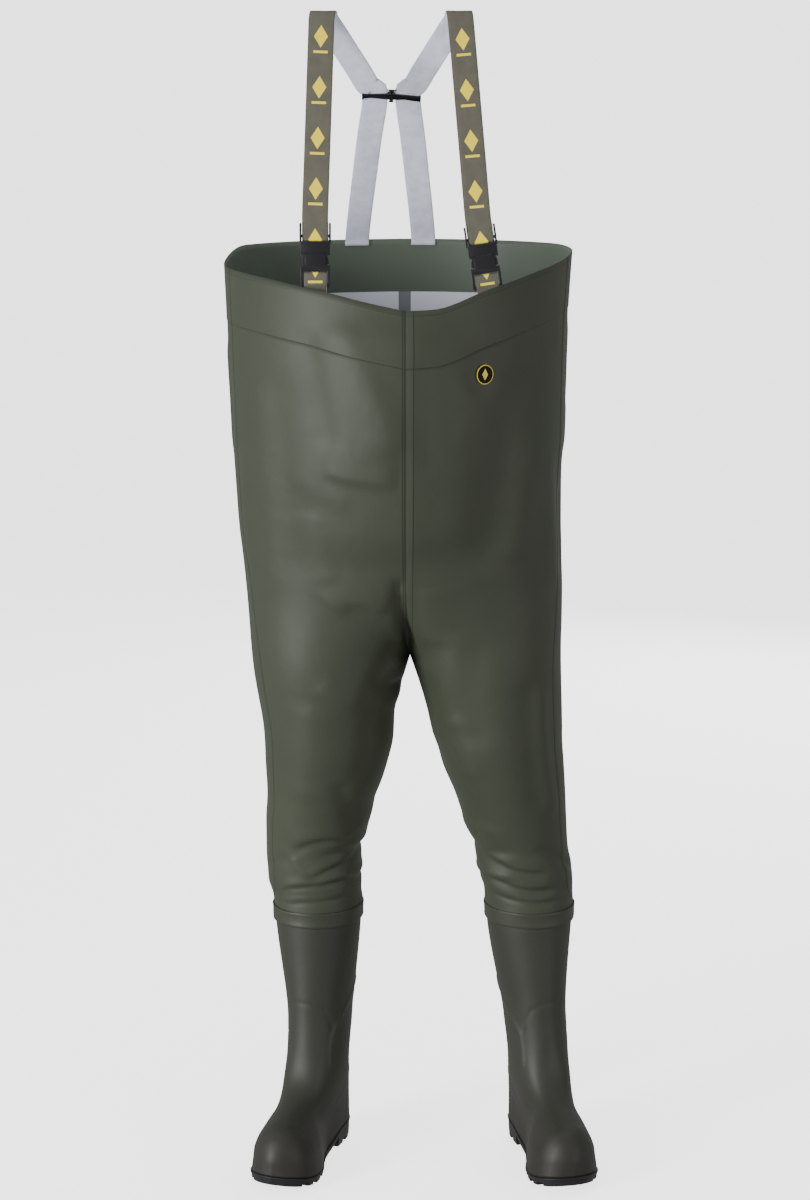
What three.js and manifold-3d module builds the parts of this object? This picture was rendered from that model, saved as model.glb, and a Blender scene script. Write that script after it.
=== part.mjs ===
// Chest wader: a coated fabric bib with two legs, welded to moulded boots, held by two webbing braces.
// Millimetres, +Z up. The wearer faces -Y, so the wearer's left is +X. It stands empty on its two soles.
// Everything is modelled about the crotch line and moved at the end, so that the origin is the middle of the
// outer box at floor level.
import * as THREE from 'three';
import { mergeVertices } from 'three/addons/utils/BufferGeometryUtils.js';
import Module from 'manifold-3d';

const wasm = await Module();
wasm.setup();

// Clearance between pieces that touch on the real garment
const FIT = 0.3;

// Boot sizes, for a foot of EU size 43
const FOOT_LENGTH = 300;
const BALL_WIDTH = 113;
const BOOT_HEIGHT = 412;
const SHAFT_WIDTH = 141;
const SHAFT_DEPTH = 154;
const BOOT_WALL = 2.6;
const TOE_SWING = 7;
const TOE_SPRING = 15;
const HEEL_HEIGHT = 33;
const SOLE_LEDGE = 2;
const SOLE_BAND = 3.4;
const SOLE_STEP = 1.4;
const LUG_DEPTH = 6;
const LUG_CHANNEL = 9;
const INSOLE_THICKNESS = 3.5;

// Bib and legs
const CHEST_HALF_WIDTH = 272;
const CHEST_HALF_DEPTH = 205;
const BACK_RIM_HEIGHT = 1490;
const CROTCH_HEIGHT = 835;
const CROTCH_SHIFT = 8;
const FABRIC = 1.0;
const HEM_DEPTH = 85;
const HEM_STEP = 0.8;
const CUFF_LAP = 22;
const BAND_THICKNESS = 1.2;

// Braces, tabs, buckles and back slide
const WEBBING_WIDTH = 40;
const WEBBING = 2;
const TAB_WIDTH = 34;
const TAB_WEBBING = 1.5;
const TAB_DROP = 38;
const TAIL_DROP = 10;
const BUCKLE_WIDTH = 47.6;
const BUCKLE_THICKNESS = 9;
const BUCKLE_LOOP = 24;
const BUCKLE_SINK = 3;
const BUCKLE_LEAN = 5;
const SOCKET_HEIGHT = 27;
const PLUG_HEIGHT = 17;
const PLUG_ARMS = 28;
const BUCKLE_BAR = 5;
const SLIDE_HALF_LENGTH = 46;
const SLIDE_HALF_HEIGHT = 5.5;
const SLIDE_THICKNESS = 3;
const PIN_RADIUS = 2.4;
const SLIDE_OUT = -21;
const SLIDE_CROSS = 3;
const SLIDE_RISE = 0.667;
const SHOULDER_FORWARD = 62;
const SHOULDER_HEIGHT = 1838;
const SHOULDER_RADIUS = 11;
const BADGE_RADIUS = 15;
const BADGE_THICKNESS = 1.5;
const BADGE_OUT = 120;
const BADGE_HEIGHT = 1310;

// Where each boot stands: its heel, how far it turns out, and how far the shaft leans to the inside
const STANCE = {
  right: { side: -1, heelX: -118, heelY: 90, toeOut: 20, lean: -8 },
  left: { side: 1, heelX: 202, heelY: 96, toeOut: 14.4, lean: 10.5 },
};

// Columns round every loop of the boot
const BOOT_COLUMNS = 28;

// Plan of the foot: half widths as shares of half the ball width, at shares of the foot length
const PLAN = [
  { along: 0.0, outer: 0.0, inner: 0.0 },
  { along: 0.01, outer: 0.25, inner: 0.25 },
  { along: 0.04, outer: 0.48, inner: 0.48 },
  { along: 0.09, outer: 0.61, inner: 0.62 },
  { along: 0.16, outer: 0.68, inner: 0.68 },
  { along: 0.28, outer: 0.7, inner: 0.68 },
  { along: 0.42, outer: 0.74, inner: 0.65 },
  { along: 0.55, outer: 0.86, inner: 0.78 },
  { along: 0.68, outer: 0.99, inner: 0.97 },
  { along: 0.78, outer: 1.0, inner: 1.0 },
  { along: 0.87, outer: 0.87, inner: 0.92 },
  { along: 0.94, outer: 0.63, inner: 0.72 },
  { along: 0.985, outer: 0.32, inner: 0.38 },
  { along: 1.0, outer: 0.0, inner: 0.0 },
];

// Ridge line of the foot from the instep to the toe, height as a share of the boot height
const RIDGE = [
  { along: 0.4, height: 1.0 },
  { along: 0.45, height: 0.6 },
  { along: 0.475, height: 0.42 },
  { along: 0.49, height: 0.345 },
  { along: 0.515, height: 0.3 },
  { along: 0.56, height: 0.278 },
  { along: 0.64, height: 0.263 },
  { along: 0.76, height: 0.249 },
  { along: 0.86, height: 0.235 },
  { along: 0.93, height: 0.205 },
  { along: 0.975, height: 0.162 },
  { along: 0.994, height: 0.12 },
  { along: 1.0, height: 0.075 },
];

// Shaft seen from the side and front: rear and front edge as shares of the shaft depth from the heel, and
// half width as a share of half the shaft width, at shares of the boot height
const SHAFT = [
  { up: 1.0, rear: -0.17, front: 0.83, half: 1.0 },
  { up: 0.93, rear: -0.165, front: 0.83, half: 0.98 },
  { up: 0.85, rear: -0.16, front: 0.83, half: 0.93 },
  { up: 0.75, rear: -0.15, front: 0.835, half: 0.85 },
  { up: 0.65, rear: -0.13, front: 0.845, half: 0.77 },
  { up: 0.57, rear: -0.085, front: 0.865, half: 0.72 },
  { up: 0.5, rear: -0.035, front: 0.895, half: 0.71 },
  { up: 0.435, rear: 0.02, front: 0.93, half: 0.7 },
  { up: 0.375, rear: 0.045, front: 0.945, half: 0.685 },
  { up: 0.31, rear: 0.035, front: 0.96, half: 0.68 },
  { up: 0.24, rear: 0.01, front: 0.97, half: 0.66 },
  { up: 0.0, rear: 0.0, front: 1.0, half: 0.64 },
];

// Levels of the boot's loops above the edge that the sole closes, as shares of the boot height
const SHAFT_LEVELS = [1.0, 0.92, 0.83, 0.74, 0.65, 0.57, 0.5, 0.44, 0.39];
const FOOT_LEVELS = [0.345, 0.308, 0.283, 0.268, 0.256, 0.245, 0.228, 0.205, 0.172, 0.128];

// Edge between upper and sole, height as a share of the heel height
const FEATHER = [
  { along: 0.0, height: 1.0 },
  { along: 0.15, height: 0.96 },
  { along: 0.27, height: 0.82 },
  { along: 0.37, height: 0.56 },
  { along: 0.47, height: 0.38 },
  { along: 0.57, height: 0.31 },
  { along: 0.67, height: 0.33 },
  { along: 0.78, height: 0.43 },
  { along: 0.88, height: 0.6 },
  { along: 0.96, height: 0.8 },
  { along: 1.0, height: 0.88 },
];

// Gaps between the lugs, as shares of the foot length
const LUG_GAPS = [
  { from: 0.075, to: 0.115 },
  { from: 0.167, to: 0.207 },
  { from: 0.57, to: 0.623 },
  { from: 0.687, to: 0.73 },
  { from: 0.79, to: 0.833 },
  { from: 0.877, to: 0.92 },
];
const HEEL_END = 0.275;
const ARCH_END = 0.47;

// Levels, as shares of the boot height, over which the foot's contours become the shaft's ovals, and the part of
// the foot's length over which that counts less and less
const SHAFT_BLEND = { low: 0.27, high: 0.42 };
const ANKLE_BLEND = { low: 0.08, high: 0.36 };
const INSTEP_BLEND = { low: 0.36, high: 0.56 };

// Level from which the shaft leans
const LEAN_START = 0.35;

// Powers that round the foot's cross section, spread the columns to the toe and curve the toe spring
const RIDGE_CURVE = 2.6;
const SIDE_CURVE = 0.47;
const COLUMN_SPREAD = 2.2;
const SPRING_CURVE = 1.7;
const SPRING_START = 0.7;

// Columns of the bib from the middle of the front to the middle of the back, and round each leg
const BODY_COLUMNS = 20;

// Drop of the rim below the back, as a share of the torso from crotch to back rim. Turn 0 is the middle of the
// front, 1 the side and 2 the middle of the back
const RIM = [
  { turn: 0.0, right: 0.125, left: 0.125 },
  { turn: 0.1, right: 0.111, left: 0.1225 },
  { turn: 0.32, right: 0.08, left: 0.08 },
  { turn: 0.6, right: 0.057, left: 0.041 },
  { turn: 1.0, right: 0.041, left: 0.01 },
  { turn: 1.3, right: 0.004, left: 0.0 },
  { turn: 2.0, right: 0.0, left: 0.0 },
];

// Sections of the torso from the rim down to the crotch: widths as shares of half the chest width, depths as
// shares of half the chest depth, corner 0.5 for an oval and more for a sharper side, and split from one oval
// to the two thighs
const TORSO = [
  { down: 0.0, right: 1.045, left: 0.965, front: 0.965, back: 1.0, corner: 0.6, split: 0 },
  { down: 0.136, right: 1.033, left: 0.946, front: 0.985, back: 0.99, corner: 0.58, split: 0 },
  { down: 0.24, right: 1.026, left: 0.938, front: 0.98, back: 0.98, corner: 0.56, split: 0 },
  { down: 0.34, right: 1.015, left: 0.934, front: 0.965, back: 0.97, corner: 0.54, split: 0 },
  { down: 0.44, right: 1.007, left: 0.93, front: 0.927, back: 0.957, corner: 0.52, split: 0 },
  { down: 0.545, right: 0.993, left: 0.917, front: 0.868, back: 0.952, corner: 0.5, split: 0 },
  { down: 0.65, right: 0.978, left: 0.919, front: 0.8, back: 0.95, corner: 0.5, split: 0.02 },
  { down: 0.755, right: 0.952, left: 0.923, front: 0.741, back: 0.93, corner: 0.5, split: 0.08 },
  { down: 0.858, right: 0.93, left: 0.93, front: 0.673, back: 0.9, corner: 0.5, split: 0.24 },
  { down: 0.928, right: 0.918, left: 0.926, front: 0.635, back: 0.865, corner: 0.5, split: 0.48 },
  { down: 0.976, right: 0.914, left: 0.924, front: 0.605, back: 0.84, corner: 0.5, split: 0.78 },
  { down: 1.0, right: 0.913, left: 0.924, front: 0.59, back: 0.82, corner: 0.5, split: 1 },
];
const TORSO_LEVELS = [0.24, 0.34, 0.44, 0.545, 0.65, 0.74, 0.81, 0.87, 0.92, 0.96, 1.0];
const SIDE_SEAM = 0.15;
const SPLIT_SWELL = 0.09;

// Sections of the legs from the crotch down to the shaft: inner and outer edge from the middle line as shares of
// half the chest width, front and back as shares of half the chest depth
const LEGS = [
  { down: 0.0, rightInner: -0.03, rightOuter: 0.913, leftInner: 0.03, leftOuter: 0.924, front: 0.59, back: 0.82 },
  { down: 0.106, rightInner: 0.018, rightOuter: 0.893, leftInner: 0.085, leftOuter: 0.93, front: 0.52, back: 0.775 },
  { down: 0.213, rightInner: 0.06, rightOuter: 0.855, leftInner: 0.132, leftOuter: 0.938, front: 0.485, back: 0.75 },
  { down: 0.319, rightInner: 0.068, rightOuter: 0.84, leftInner: 0.168, leftOuter: 0.94, front: 0.45, back: 0.725 },
  { down: 0.426, rightInner: 0.105, rightOuter: 0.835, leftInner: 0.221, leftOuter: 0.952, front: 0.395, back: 0.695 },
  { down: 0.544, rightInner: 0.16, rightOuter: 0.828, leftInner: 0.298, leftOuter: 0.964, front: 0.33, back: 0.67 },
  { down: 0.662, rightInner: 0.212, rightOuter: 0.838, leftInner: 0.358, leftOuter: 0.974, front: 0.255, back: 0.65 },
  { down: 0.768, rightInner: 0.262, rightOuter: 0.838, leftInner: 0.418, leftOuter: 0.985, front: 0.2, back: 0.63 },
  { down: 0.851, rightInner: 0.262, rightOuter: 0.832, leftInner: 0.44, leftOuter: 1.01, front: 0.185, back: 0.6 },
  { down: 0.922, rightInner: 0.262, rightOuter: 0.824, leftInner: 0.472, leftOuter: 1.017, front: 0.165, back: 0.585 },
];
const LEG_LEVELS = [0.05, 0.106, 0.213, 0.319, 0.426, 0.544, 0.662, 0.768, 0.851, 0.922];

// Where the braces run, out from the middle line as shares of half the chest width, and the tilt of each buckle
const BRACES = {
  right: { buckle: -0.498, shoulder: -0.463, slide: -0.173, rim: -0.287, tilt: 0 },
  left: { buckle: 0.463, shoulder: 0.309, slide: 0.018, rim: 0.11, tilt: -8.5 },
};

// Outline of the buckle's prongs: out from its middle as a share of its half width, and up from the base of the
// socket as a share of the socket's height
const PRONG = [
  { out: 0.504, up: 1.048 },
  { out: 0.672, up: 1.048 },
  { out: 0.84, up: 0.704 },
  { out: 0.861, up: 0.407 },
  { out: 0.63, up: 0.333 },
  { out: 0.546, up: 0.63 },
];

// The slide lies on the straight line from behind the shoulder to the back rim, SLIDE_RISE of the way up
const backDepth = TORSO[0].back * CHEST_HALF_DEPTH;
const braceRise = SHOULDER_HEIGHT - BACK_RIM_HEIGHT;
const braceRun = backDepth + SHOULDER_FORWARD - SHOULDER_RADIUS;
const slideHeight = BACK_RIM_HEIGHT + SLIDE_RISE * braceRise;
const slideDepth = backDepth - SLIDE_RISE * braceRun;
const slideLean = Math.atan(braceRun / braceRise);

const radians = THREE.MathUtils.degToRad;
const smooth = (low, high, value) => THREE.MathUtils.smoothstep(value, low, high);

// Reads a column of a table at a place between its rows, on a smooth curve that never overshoots
function follow(rows, key, column, at) {
  const rising = rows[rows.length - 1][key] > rows[0][key];
  const list = rising ? rows : [...rows].reverse();
  const last = list.length - 1;
  if (at <= list[0][key]) return list[0][column];
  if (at >= list[last][key]) return list[last][column];
  let i = 0;
  while (list[i + 1][key] < at) i += 1;
  const rise = (n) => (list[n + 1][column] - list[n][column]) / (list[n + 1][key] - list[n][key]);
  const slope = (n) => {
    if (n === 0) return rise(0);
    if (n === last) return rise(last - 1);
    const before = rise(n - 1);
    const after = rise(n);
    return before * after <= 0 ? 0 : (2 * before * after) / (before + after);
  };
  const width = list[i + 1][key] - list[i][key];
  const t = (at - list[i][key]) / width;
  const stay = 1 - t;
  return (
    list[i][column] * (1 + 2 * t) * stay * stay +
    list[i + 1][column] * (3 - 2 * t) * t * t +
    slope(i) * width * t * stay * stay -
    slope(i + 1) * width * t * t * stay
  );
}

// A mesh geometry from points and triangles, with shared points merged
function solidFrom(points, triangles) {
  const geometry = new THREE.BufferGeometry();
  geometry.setAttribute('position', new THREE.Float32BufferAttribute(points.flatMap((p) => [p.x, p.y, p.z]), 3));
  geometry.setIndex(triangles.flat());
  return mergeVertices(geometry, 1e-3);
}

// Collects points and triangles of one closed solid
class Skin {
  constructor() {
    this.points = [];
    this.triangles = [];
  }

  row(list) {
    return list.map((p) => this.points.push(p) - 1);
  }

  triangle(a, b, c) {
    const same = (m, n) => this.points[m].distanceToSquared(this.points[n]) < 1e-6;
    if (!same(a, b) && !same(b, c) && !same(c, a)) this.triangles.push([a, b, c]);
  }

  quad(a, b, c, d) {
    this.triangle(a, b, c);
    this.triangle(a, c, d);
  }

  // Joins two rows of points by a strip; upper and lower run the same way
  strip(upper, lower, closed, flip = false) {
    const count = upper.length - (closed ? 0 : 1);
    for (let i = 0; i < count; i += 1) {
      const j = (i + 1) % upper.length;
      if (flip) this.quad(upper[j], lower[j], lower[i], upper[i]);
      else this.quad(upper[i], lower[i], lower[j], upper[j]);
    }
  }

  // Closes a loop whose points mirror each other about its first and middle point
  cap(loop, flip = false) {
    const half = loop.length / 2;
    for (let i = 0; i < half; i += 1) {
      const a = loop[i];
      const b = loop[i + 1];
      const c = loop[(loop.length - i - 1) % loop.length];
      const d = loop[(loop.length - i) % loop.length];
      if (flip) this.quad(d, c, b, a);
      else this.quad(a, b, c, d);
    }
  }

  geometry() {
    return solidFrom(this.points, this.triangles);
  }
}

// Turns every triangle over, for a solid that was made as a mirror image
function turnedOver(geometry) {
  const index = geometry.index.array.slice();
  for (let i = 0; i < index.length; i += 3) [index[i], index[i + 1]] = [index[i + 1], index[i]];
  geometry.setIndex([...index]);
  return geometry;
}

function toManifold(geometry) {
  const bare = new THREE.BufferGeometry();
  bare.setAttribute('position', geometry.attributes.position.clone());
  bare.setIndex(geometry.index ? [...geometry.index.array] : null);
  const merged = mergeVertices(bare, 1e-3);
  const vertProperties = new Float32Array(merged.attributes.position.array);
  const triVerts = new Uint32Array(merged.index.array);
  return new wasm.Manifold(new wasm.Mesh({ numProp: 3, vertProperties, triVerts }));
}

function fromManifold(manifold) {
  const mesh = manifold.getMesh();
  const geometry = new THREE.BufferGeometry();
  geometry.setAttribute('position', new THREE.Float32BufferAttribute([...mesh.vertProperties], 3));
  geometry.setIndex([...mesh.triVerts]);
  return geometry;
}

function cutAway(geometry, cutters) {
  let body = toManifold(geometry);
  for (const cutter of cutters) body = body.subtract(toManifold(cutter));
  return fromManifold(body);
}

function joined(geometries) {
  let body = toManifold(geometries[0]);
  for (const other of geometries.slice(1)) body = body.add(toManifold(other));
  return fromManifold(body);
}

// A box given by its lowest and highest corner
function blockBetween(low, high) {
  const size = high.map((value, i) => value - low[i]);
  const box = new THREE.BoxGeometry(...size);
  box.translate(...high.map((value, i) => (value + low[i]) / 2));
  return box;
}

// Foot frame: s runs from the heel's back to the toe, t to the outside of the foot, z up
const planWidth = (along, column) => (follow(PLAN, 'along', column, along) * BALL_WIDTH) / 2;
const featherHeight = (s) => HEEL_HEIGHT * follow(FEATHER, 'along', 'height', s / FOOT_LENGTH);
const toeShift = (s) => -TOE_SWING * smooth(0.45, 1.0, s / FOOT_LENGTH);
const ridgeHeight = (s) => BOOT_HEIGHT * follow(RIDGE, 'along', 'height', s / FOOT_LENGTH);

// Furthest point of the foot at a level, where the ridge line, less the wall, comes down through it
function ridgeEnd(z, wall) {
  let low = RIDGE[0].along * FOOT_LENGTH;
  let high = FOOT_LENGTH;
  for (let i = 0; i < 30; i += 1) {
    const middle = (low + high) / 2;
    if (ridgeHeight(middle + wall) - wall > z) low = middle;
    else high = middle;
  }
  return low;
}

// Columns keep their place under the shaft, and those in front of it spread out to the toe
function stationAt(turn, rear, shaftFront, front) {
  const share = (1 - Math.cos(turn)) / 2;
  return rear + (shaftFront - rear) * share + (front - shaftFront) * Math.pow(share, COLUMN_SPREAD);
}

// One loop of the boot at a level: an oval in the shaft, a contour of the last in the foot. The same function
// gives the outside, with no wall, and the inside
function bootLoop(level, stance, wall) {
  const z = level * BOOT_HEIGHT;
  const shaft = smooth(SHAFT_BLEND.low, SHAFT_BLEND.high, level);
  const ankle = smooth(ANKLE_BLEND.low, ANKLE_BLEND.high, level);
  const rear = follow(SHAFT, 'up', 'rear', level) * SHAFT_DEPTH + wall;
  const shaftFront = follow(SHAFT, 'up', 'front', level) * SHAFT_DEPTH - wall;
  const inShaft = level > SHAFT_BLEND.high;
  const front = inShaft ? shaftFront : THREE.MathUtils.lerp(ridgeEnd(z, wall), shaftFront, shaft);
  const half = (follow(SHAFT, 'up', 'half', level) * SHAFT_WIDTH) / 2 - wall;
  const lean = -stance.lean * smooth(LEAN_START, 1.0, level);
  const loop = [];
  for (let i = 0; i < BOOT_COLUMNS; i += 1) {
    const turn = (2 * Math.PI * i) / BOOT_COLUMNS;
    const s = stationAt(turn, rear, shaftFront, front);
    const outer = Math.sin(turn) < 0;
    const along = THREE.MathUtils.clamp(s / FOOT_LENGTH, 0, 1);
    const ridge = ridgeHeight(s + wall) - wall;
    const roundness = Math.pow(Math.max(0, 1 - Math.pow(z / ridge, RIDGE_CURVE)), SIDE_CURVE);
    const foot = Math.max(0, planWidth(along, outer ? 'outer' : 'inner') - wall) * roundness;
    const local = Math.min(0.5, (s - rear) / (shaftFront - rear));
    const closing = Math.sqrt(Math.max(0, 1 - (1 - 2 * local) ** 2));
    const oval = half * THREE.MathUtils.lerp(closing, Math.abs(Math.sin(turn)), shaft);
    const nearShaft = 1 - smooth(INSTEP_BLEND.low, INSTEP_BLEND.high, along);
    const t = THREE.MathUtils.lerp(foot, oval, THREE.MathUtils.lerp(shaft, ankle, nearShaft));
    const tip = i === 0 || i === BOOT_COLUMNS / 2;
    loop.push({ s, t: (tip ? 0 : outer ? t : -t) + lean + toeShift(s) * (1 - shaft), z });
  }
  return loop;
}

// Outline of the foot at the edge of the sole, moved outwards by a distance
function soleLoop(outwards, heightAt) {
  const loop = [];
  for (let i = 0; i < BOOT_COLUMNS; i += 1) {
    const turn = (2 * Math.PI * i) / BOOT_COLUMNS;
    const s = stationAt(turn, 0, SHAFT_DEPTH, FOOT_LENGTH);
    const outside = Math.sin(turn) < 0;
    const width = planWidth(s / FOOT_LENGTH, outside ? 'outer' : 'inner') * (outside ? 1 : -1);
    const tip = i === 0 || i === BOOT_COLUMNS / 2;
    loop.push({
      s: s - outwards * Math.cos(turn),
      t: (tip ? 0 : width - outwards * Math.sin(turn)) + toeShift(s),
      z: heightAt(s),
    });
  }
  return loop;
}

// From the foot frame to the garment
function place(point, stance) {
  const turn = radians(stance.toeOut);
  const x = stance.heelX + stance.side * (point.s * Math.sin(turn) + point.t * Math.cos(turn));
  const y = stance.heelY - point.s * Math.cos(turn) + point.t * Math.sin(turn);
  return new THREE.Vector3(x, y, point.z);
}

function meshOf(name, geometry, finish) {
  const mesh = new THREE.Mesh(geometry, new THREE.MeshStandardMaterial(finish));
  mesh.geometry.computeVertexNormals();
  mesh.name = name;
  return mesh;
}

// Finishes
const BOOT_GREEN = { color: 0x4a4c44, roughness: 0.45, metalness: 0 };
const SOLE_DARK = { color: 0x26262a, roughness: 0.6, metalness: 0 };
const FABRIC_GREEN = { color: 0x55584c, roughness: 0.42, metalness: 0 };
const WEBBING_OLIVE = { color: 0x6b6a5e, roughness: 0.85, metalness: 0 };
const BUCKLE_BLACK = { color: 0x2b2a33, roughness: 0.4, metalness: 0 };
const BADGE_BLACK = { color: 0x1c1c1e, roughness: 0.4, metalness: 0 };
const INSOLE_GREY = { color: 0x6b6b66, roughness: 0.95, metalness: 0 };

// Moulded upper: shaft and foot in one hollow wall, open at the collar and at the edge of the sole
function bootUpper(stance) {
  const side = (wall) =>
    [
      ...[...SHAFT_LEVELS, ...FOOT_LEVELS].map((level) => bootLoop(level, stance, wall)),
      soleLoop(-wall, (s) => featherHeight(s) + FIT),
    ].map((loop) => loop.map((p) => place(p, stance)));
  const skin = new Skin();
  const outside = side(0).map((row) => skin.row(row));
  const inside = side(BOOT_WALL).map((row) => skin.row(row));
  const last = outside.length - 1;
  for (let r = 0; r < last; r += 1) {
    skin.strip(outside[r], outside[r + 1], true);
    skin.strip(inside[r], inside[r + 1], true, true);
  }
  skin.strip(inside[0], outside[0], true);
  skin.strip(outside[last], inside[last], true);
  return stance.side > 0 ? skin.geometry() : turnedOver(skin.geometry());
}

// Height of the tread above the floor: flat to the ball, then rising to the toe
function treadHeight(s) {
  const past = Math.max(0, s / FOOT_LENGTH - SPRING_START) / (1 - SPRING_START);
  return TOE_SPRING * Math.pow(past, SPRING_CURVE);
}

// Outsole: a band round the edge, a step, then the heel block and forefoot with their lugs cut free
function bootSole(stance) {
  const skin = new Skin();
  const loops = [
    soleLoop(SOLE_LEDGE, featherHeight),
    soleLoop(SOLE_LEDGE, (s) => featherHeight(s) - SOLE_BAND),
    soleLoop(SOLE_LEDGE - SOLE_STEP, (s) => featherHeight(s) - SOLE_BAND - 0.5),
    soleLoop(SOLE_LEDGE - 2 * SOLE_STEP, treadHeight),
  ].map((loop) => skin.row(loop.map((p) => new THREE.Vector3(p.s, p.t, p.z))));
  for (let r = 0; r + 1 < loops.length; r += 1) skin.strip(loops[r], loops[r + 1], true);
  skin.cap(loops[0]);
  skin.cap(loops[loops.length - 1], true);
  const block = skin.geometry();
  const heelEnd = HEEL_END * FOOT_LENGTH;
  const archEnd = ARCH_END * FOOT_LENGTH;
  const archShape = new THREE.Shape();
  archShape.moveTo(heelEnd, -1);
  archShape.lineTo(heelEnd, featherHeight(heelEnd) - 2.6 * SOLE_BAND);
  archShape.quadraticCurveTo((heelEnd + archEnd) / 2, LUG_DEPTH, archEnd, 0);
  archShape.lineTo(archEnd + 2, -1);
  const arch = new THREE.ExtrudeGeometry(archShape, { depth: BALL_WIDTH, curveSegments: 4, bevelEnabled: false });
  arch.rotateX(Math.PI / 2);
  arch.translate(0, BALL_WIDTH / 2, 0);
  const cutters = [arch];
  for (const gap of LUG_GAPS) {
    const low = gap.from * FOOT_LENGTH;
    const high = gap.to * FOOT_LENGTH;
    const top = treadHeight((low + high) / 2) + LUG_DEPTH;
    cutters.push(blockBetween([low, -BALL_WIDTH, -1], [high, BALL_WIDTH, top]));
  }
  const channelTop = LUG_DEPTH - 1;
  cutters.push(blockBetween([-20, -LUG_CHANNEL / 2, -1], [0.94 * FOOT_LENGTH, LUG_CHANNEL / 2, channelTop]));
  const cut = cutAway(block, cutters);
  const position = cut.attributes.position;
  for (let i = 0; i < position.count; i += 1) {
    const p = place({ s: position.getX(i), t: position.getY(i), z: position.getZ(i) }, stance);
    position.setXYZ(i, p.x, p.y, p.z);
  }
  return stance.side > 0 ? cut : turnedOver(cut);
}

// Footbed that lies on the sole inside the upper
function bootInsole(stance) {
  const inside = -(BOOT_WALL + SOLE_LEDGE);
  const skin = new Skin();
  const top = skin.row(
    soleLoop(inside, (s) => featherHeight(s) + 2 * FIT + INSOLE_THICKNESS).map((p) => place(p, stance)),
  );
  const bottom = skin.row(soleLoop(inside, (s) => featherHeight(s) + 2 * FIT).map((p) => place(p, stance)));
  skin.strip(top, bottom, true);
  skin.cap(top);
  skin.cap(bottom, true);
  return stance.side > 0 ? skin.geometry() : turnedOver(skin.geometry());
}

// Height of the rim at a turn from the front middle to the back middle
const torsoLength = BACK_RIM_HEIGHT - CROTCH_HEIGHT;
const rimHeight = (side, turn) => BACK_RIM_HEIGHT - torsoLength * follow(RIM, 'turn', side, turn);

// A point of the torso's section: x is counted to the outside of its half
function torsoSection(side, turn, down) {
  const read = (column) => follow(TORSO, 'down', column, down);
  const angle = (turn * Math.PI) / 2;
  const width = read(side) * CHEST_HALF_WIDTH;
  const split = read('split');
  const swell = 1 + SPLIT_SWELL * 4 * split * (1 - split);
  const front = read('front') * CHEST_HALF_DEPTH * swell;
  const back = read('back') * CHEST_HALF_DEPTH * swell;
  const seam = SIDE_SEAM * CHEST_HALF_DEPTH;
  const reach = Math.pow(Math.abs(Math.cos(angle)), 2 * read('corner'));
  const torso = {
    x: width * Math.sin(angle),
    y: turn < 1 ? seam - (seam + front) * reach : seam + (back - seam) * reach,
  };
  const inner = STANCE[side].side * CROTCH_SHIFT;
  const thigh = {
    x: (inner + width) / 2 - ((width - inner) / 2) * Math.cos(2 * angle),
    y: (back - front) / 2 - ((back + front) / 2) * Math.sin(2 * angle),
  };
  const { lerp } = THREE.MathUtils;
  return { x: lerp(torso.x, thigh.x, split), y: lerp(torso.y, thigh.y, split) };
}

// A point of the torso at a height given by the rim's own height there
function torsoPoint(side, turn, heightAt) {
  const rim = rimHeight(side, turn);
  const z = heightAt(rim);
  const { x, y } = torsoSection(side, turn, (rim - z) / (rim - CROTCH_HEIGHT));
  return new THREE.Vector3(STANCE[side].side * x, y, z);
}

// A point of the leg above the boot
function legPoint(side, turn, down) {
  const read = (column) => follow(LEGS, 'down', column, down);
  const inner = read(`${side}Inner`) * CHEST_HALF_WIDTH;
  const outer = read(`${side}Outer`) * CHEST_HALF_WIDTH;
  const front = read('front') * CHEST_HALF_DEPTH;
  const back = read('back') * CHEST_HALF_DEPTH;
  const angle = turn * Math.PI;
  const x = (inner + outer) / 2 - ((outer - inner) / 2) * Math.cos(angle);
  const y = (back - front) / 2 - ((back + front) / 2) * Math.sin(angle);
  const z = CROTCH_HEIGHT - (CROTCH_HEIGHT - BOOT_HEIGHT) * down;
  return new THREE.Vector3(STANCE[side].side * x, y, z);
}

// A point of the cuff, which goes round the shaft of the boot and stays clear of it, flat facets and all
function cuffPoint(side, turn, z, outwards) {
  const stance = STANCE[side];
  const level = z / BOOT_HEIGHT;
  const rear = follow(SHAFT, 'up', 'rear', level) * SHAFT_DEPTH;
  const front = follow(SHAFT, 'up', 'front', level) * SHAFT_DEPTH;
  const half = (follow(SHAFT, 'up', 'half', level) * SHAFT_WIDTH) / 2;
  const facets = 1 / Math.cos(Math.PI / BODY_COLUMNS);
  const angle = turn * Math.PI;
  const lean = -stance.lean * smooth(LEAN_START, 1.0, level);
  const s = (rear + front) / 2 + (((front - rear) / 2 + FIT) * facets + outwards) * Math.sin(angle);
  const t = lean - ((half + FIT) * facets + outwards) * Math.cos(angle);
  return place({ s, t, z }, stance);
}

const cuffTop = BOOT_HEIGHT + 3;
const cuffEnd = BOOT_HEIGHT - CUFF_LAP;

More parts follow.
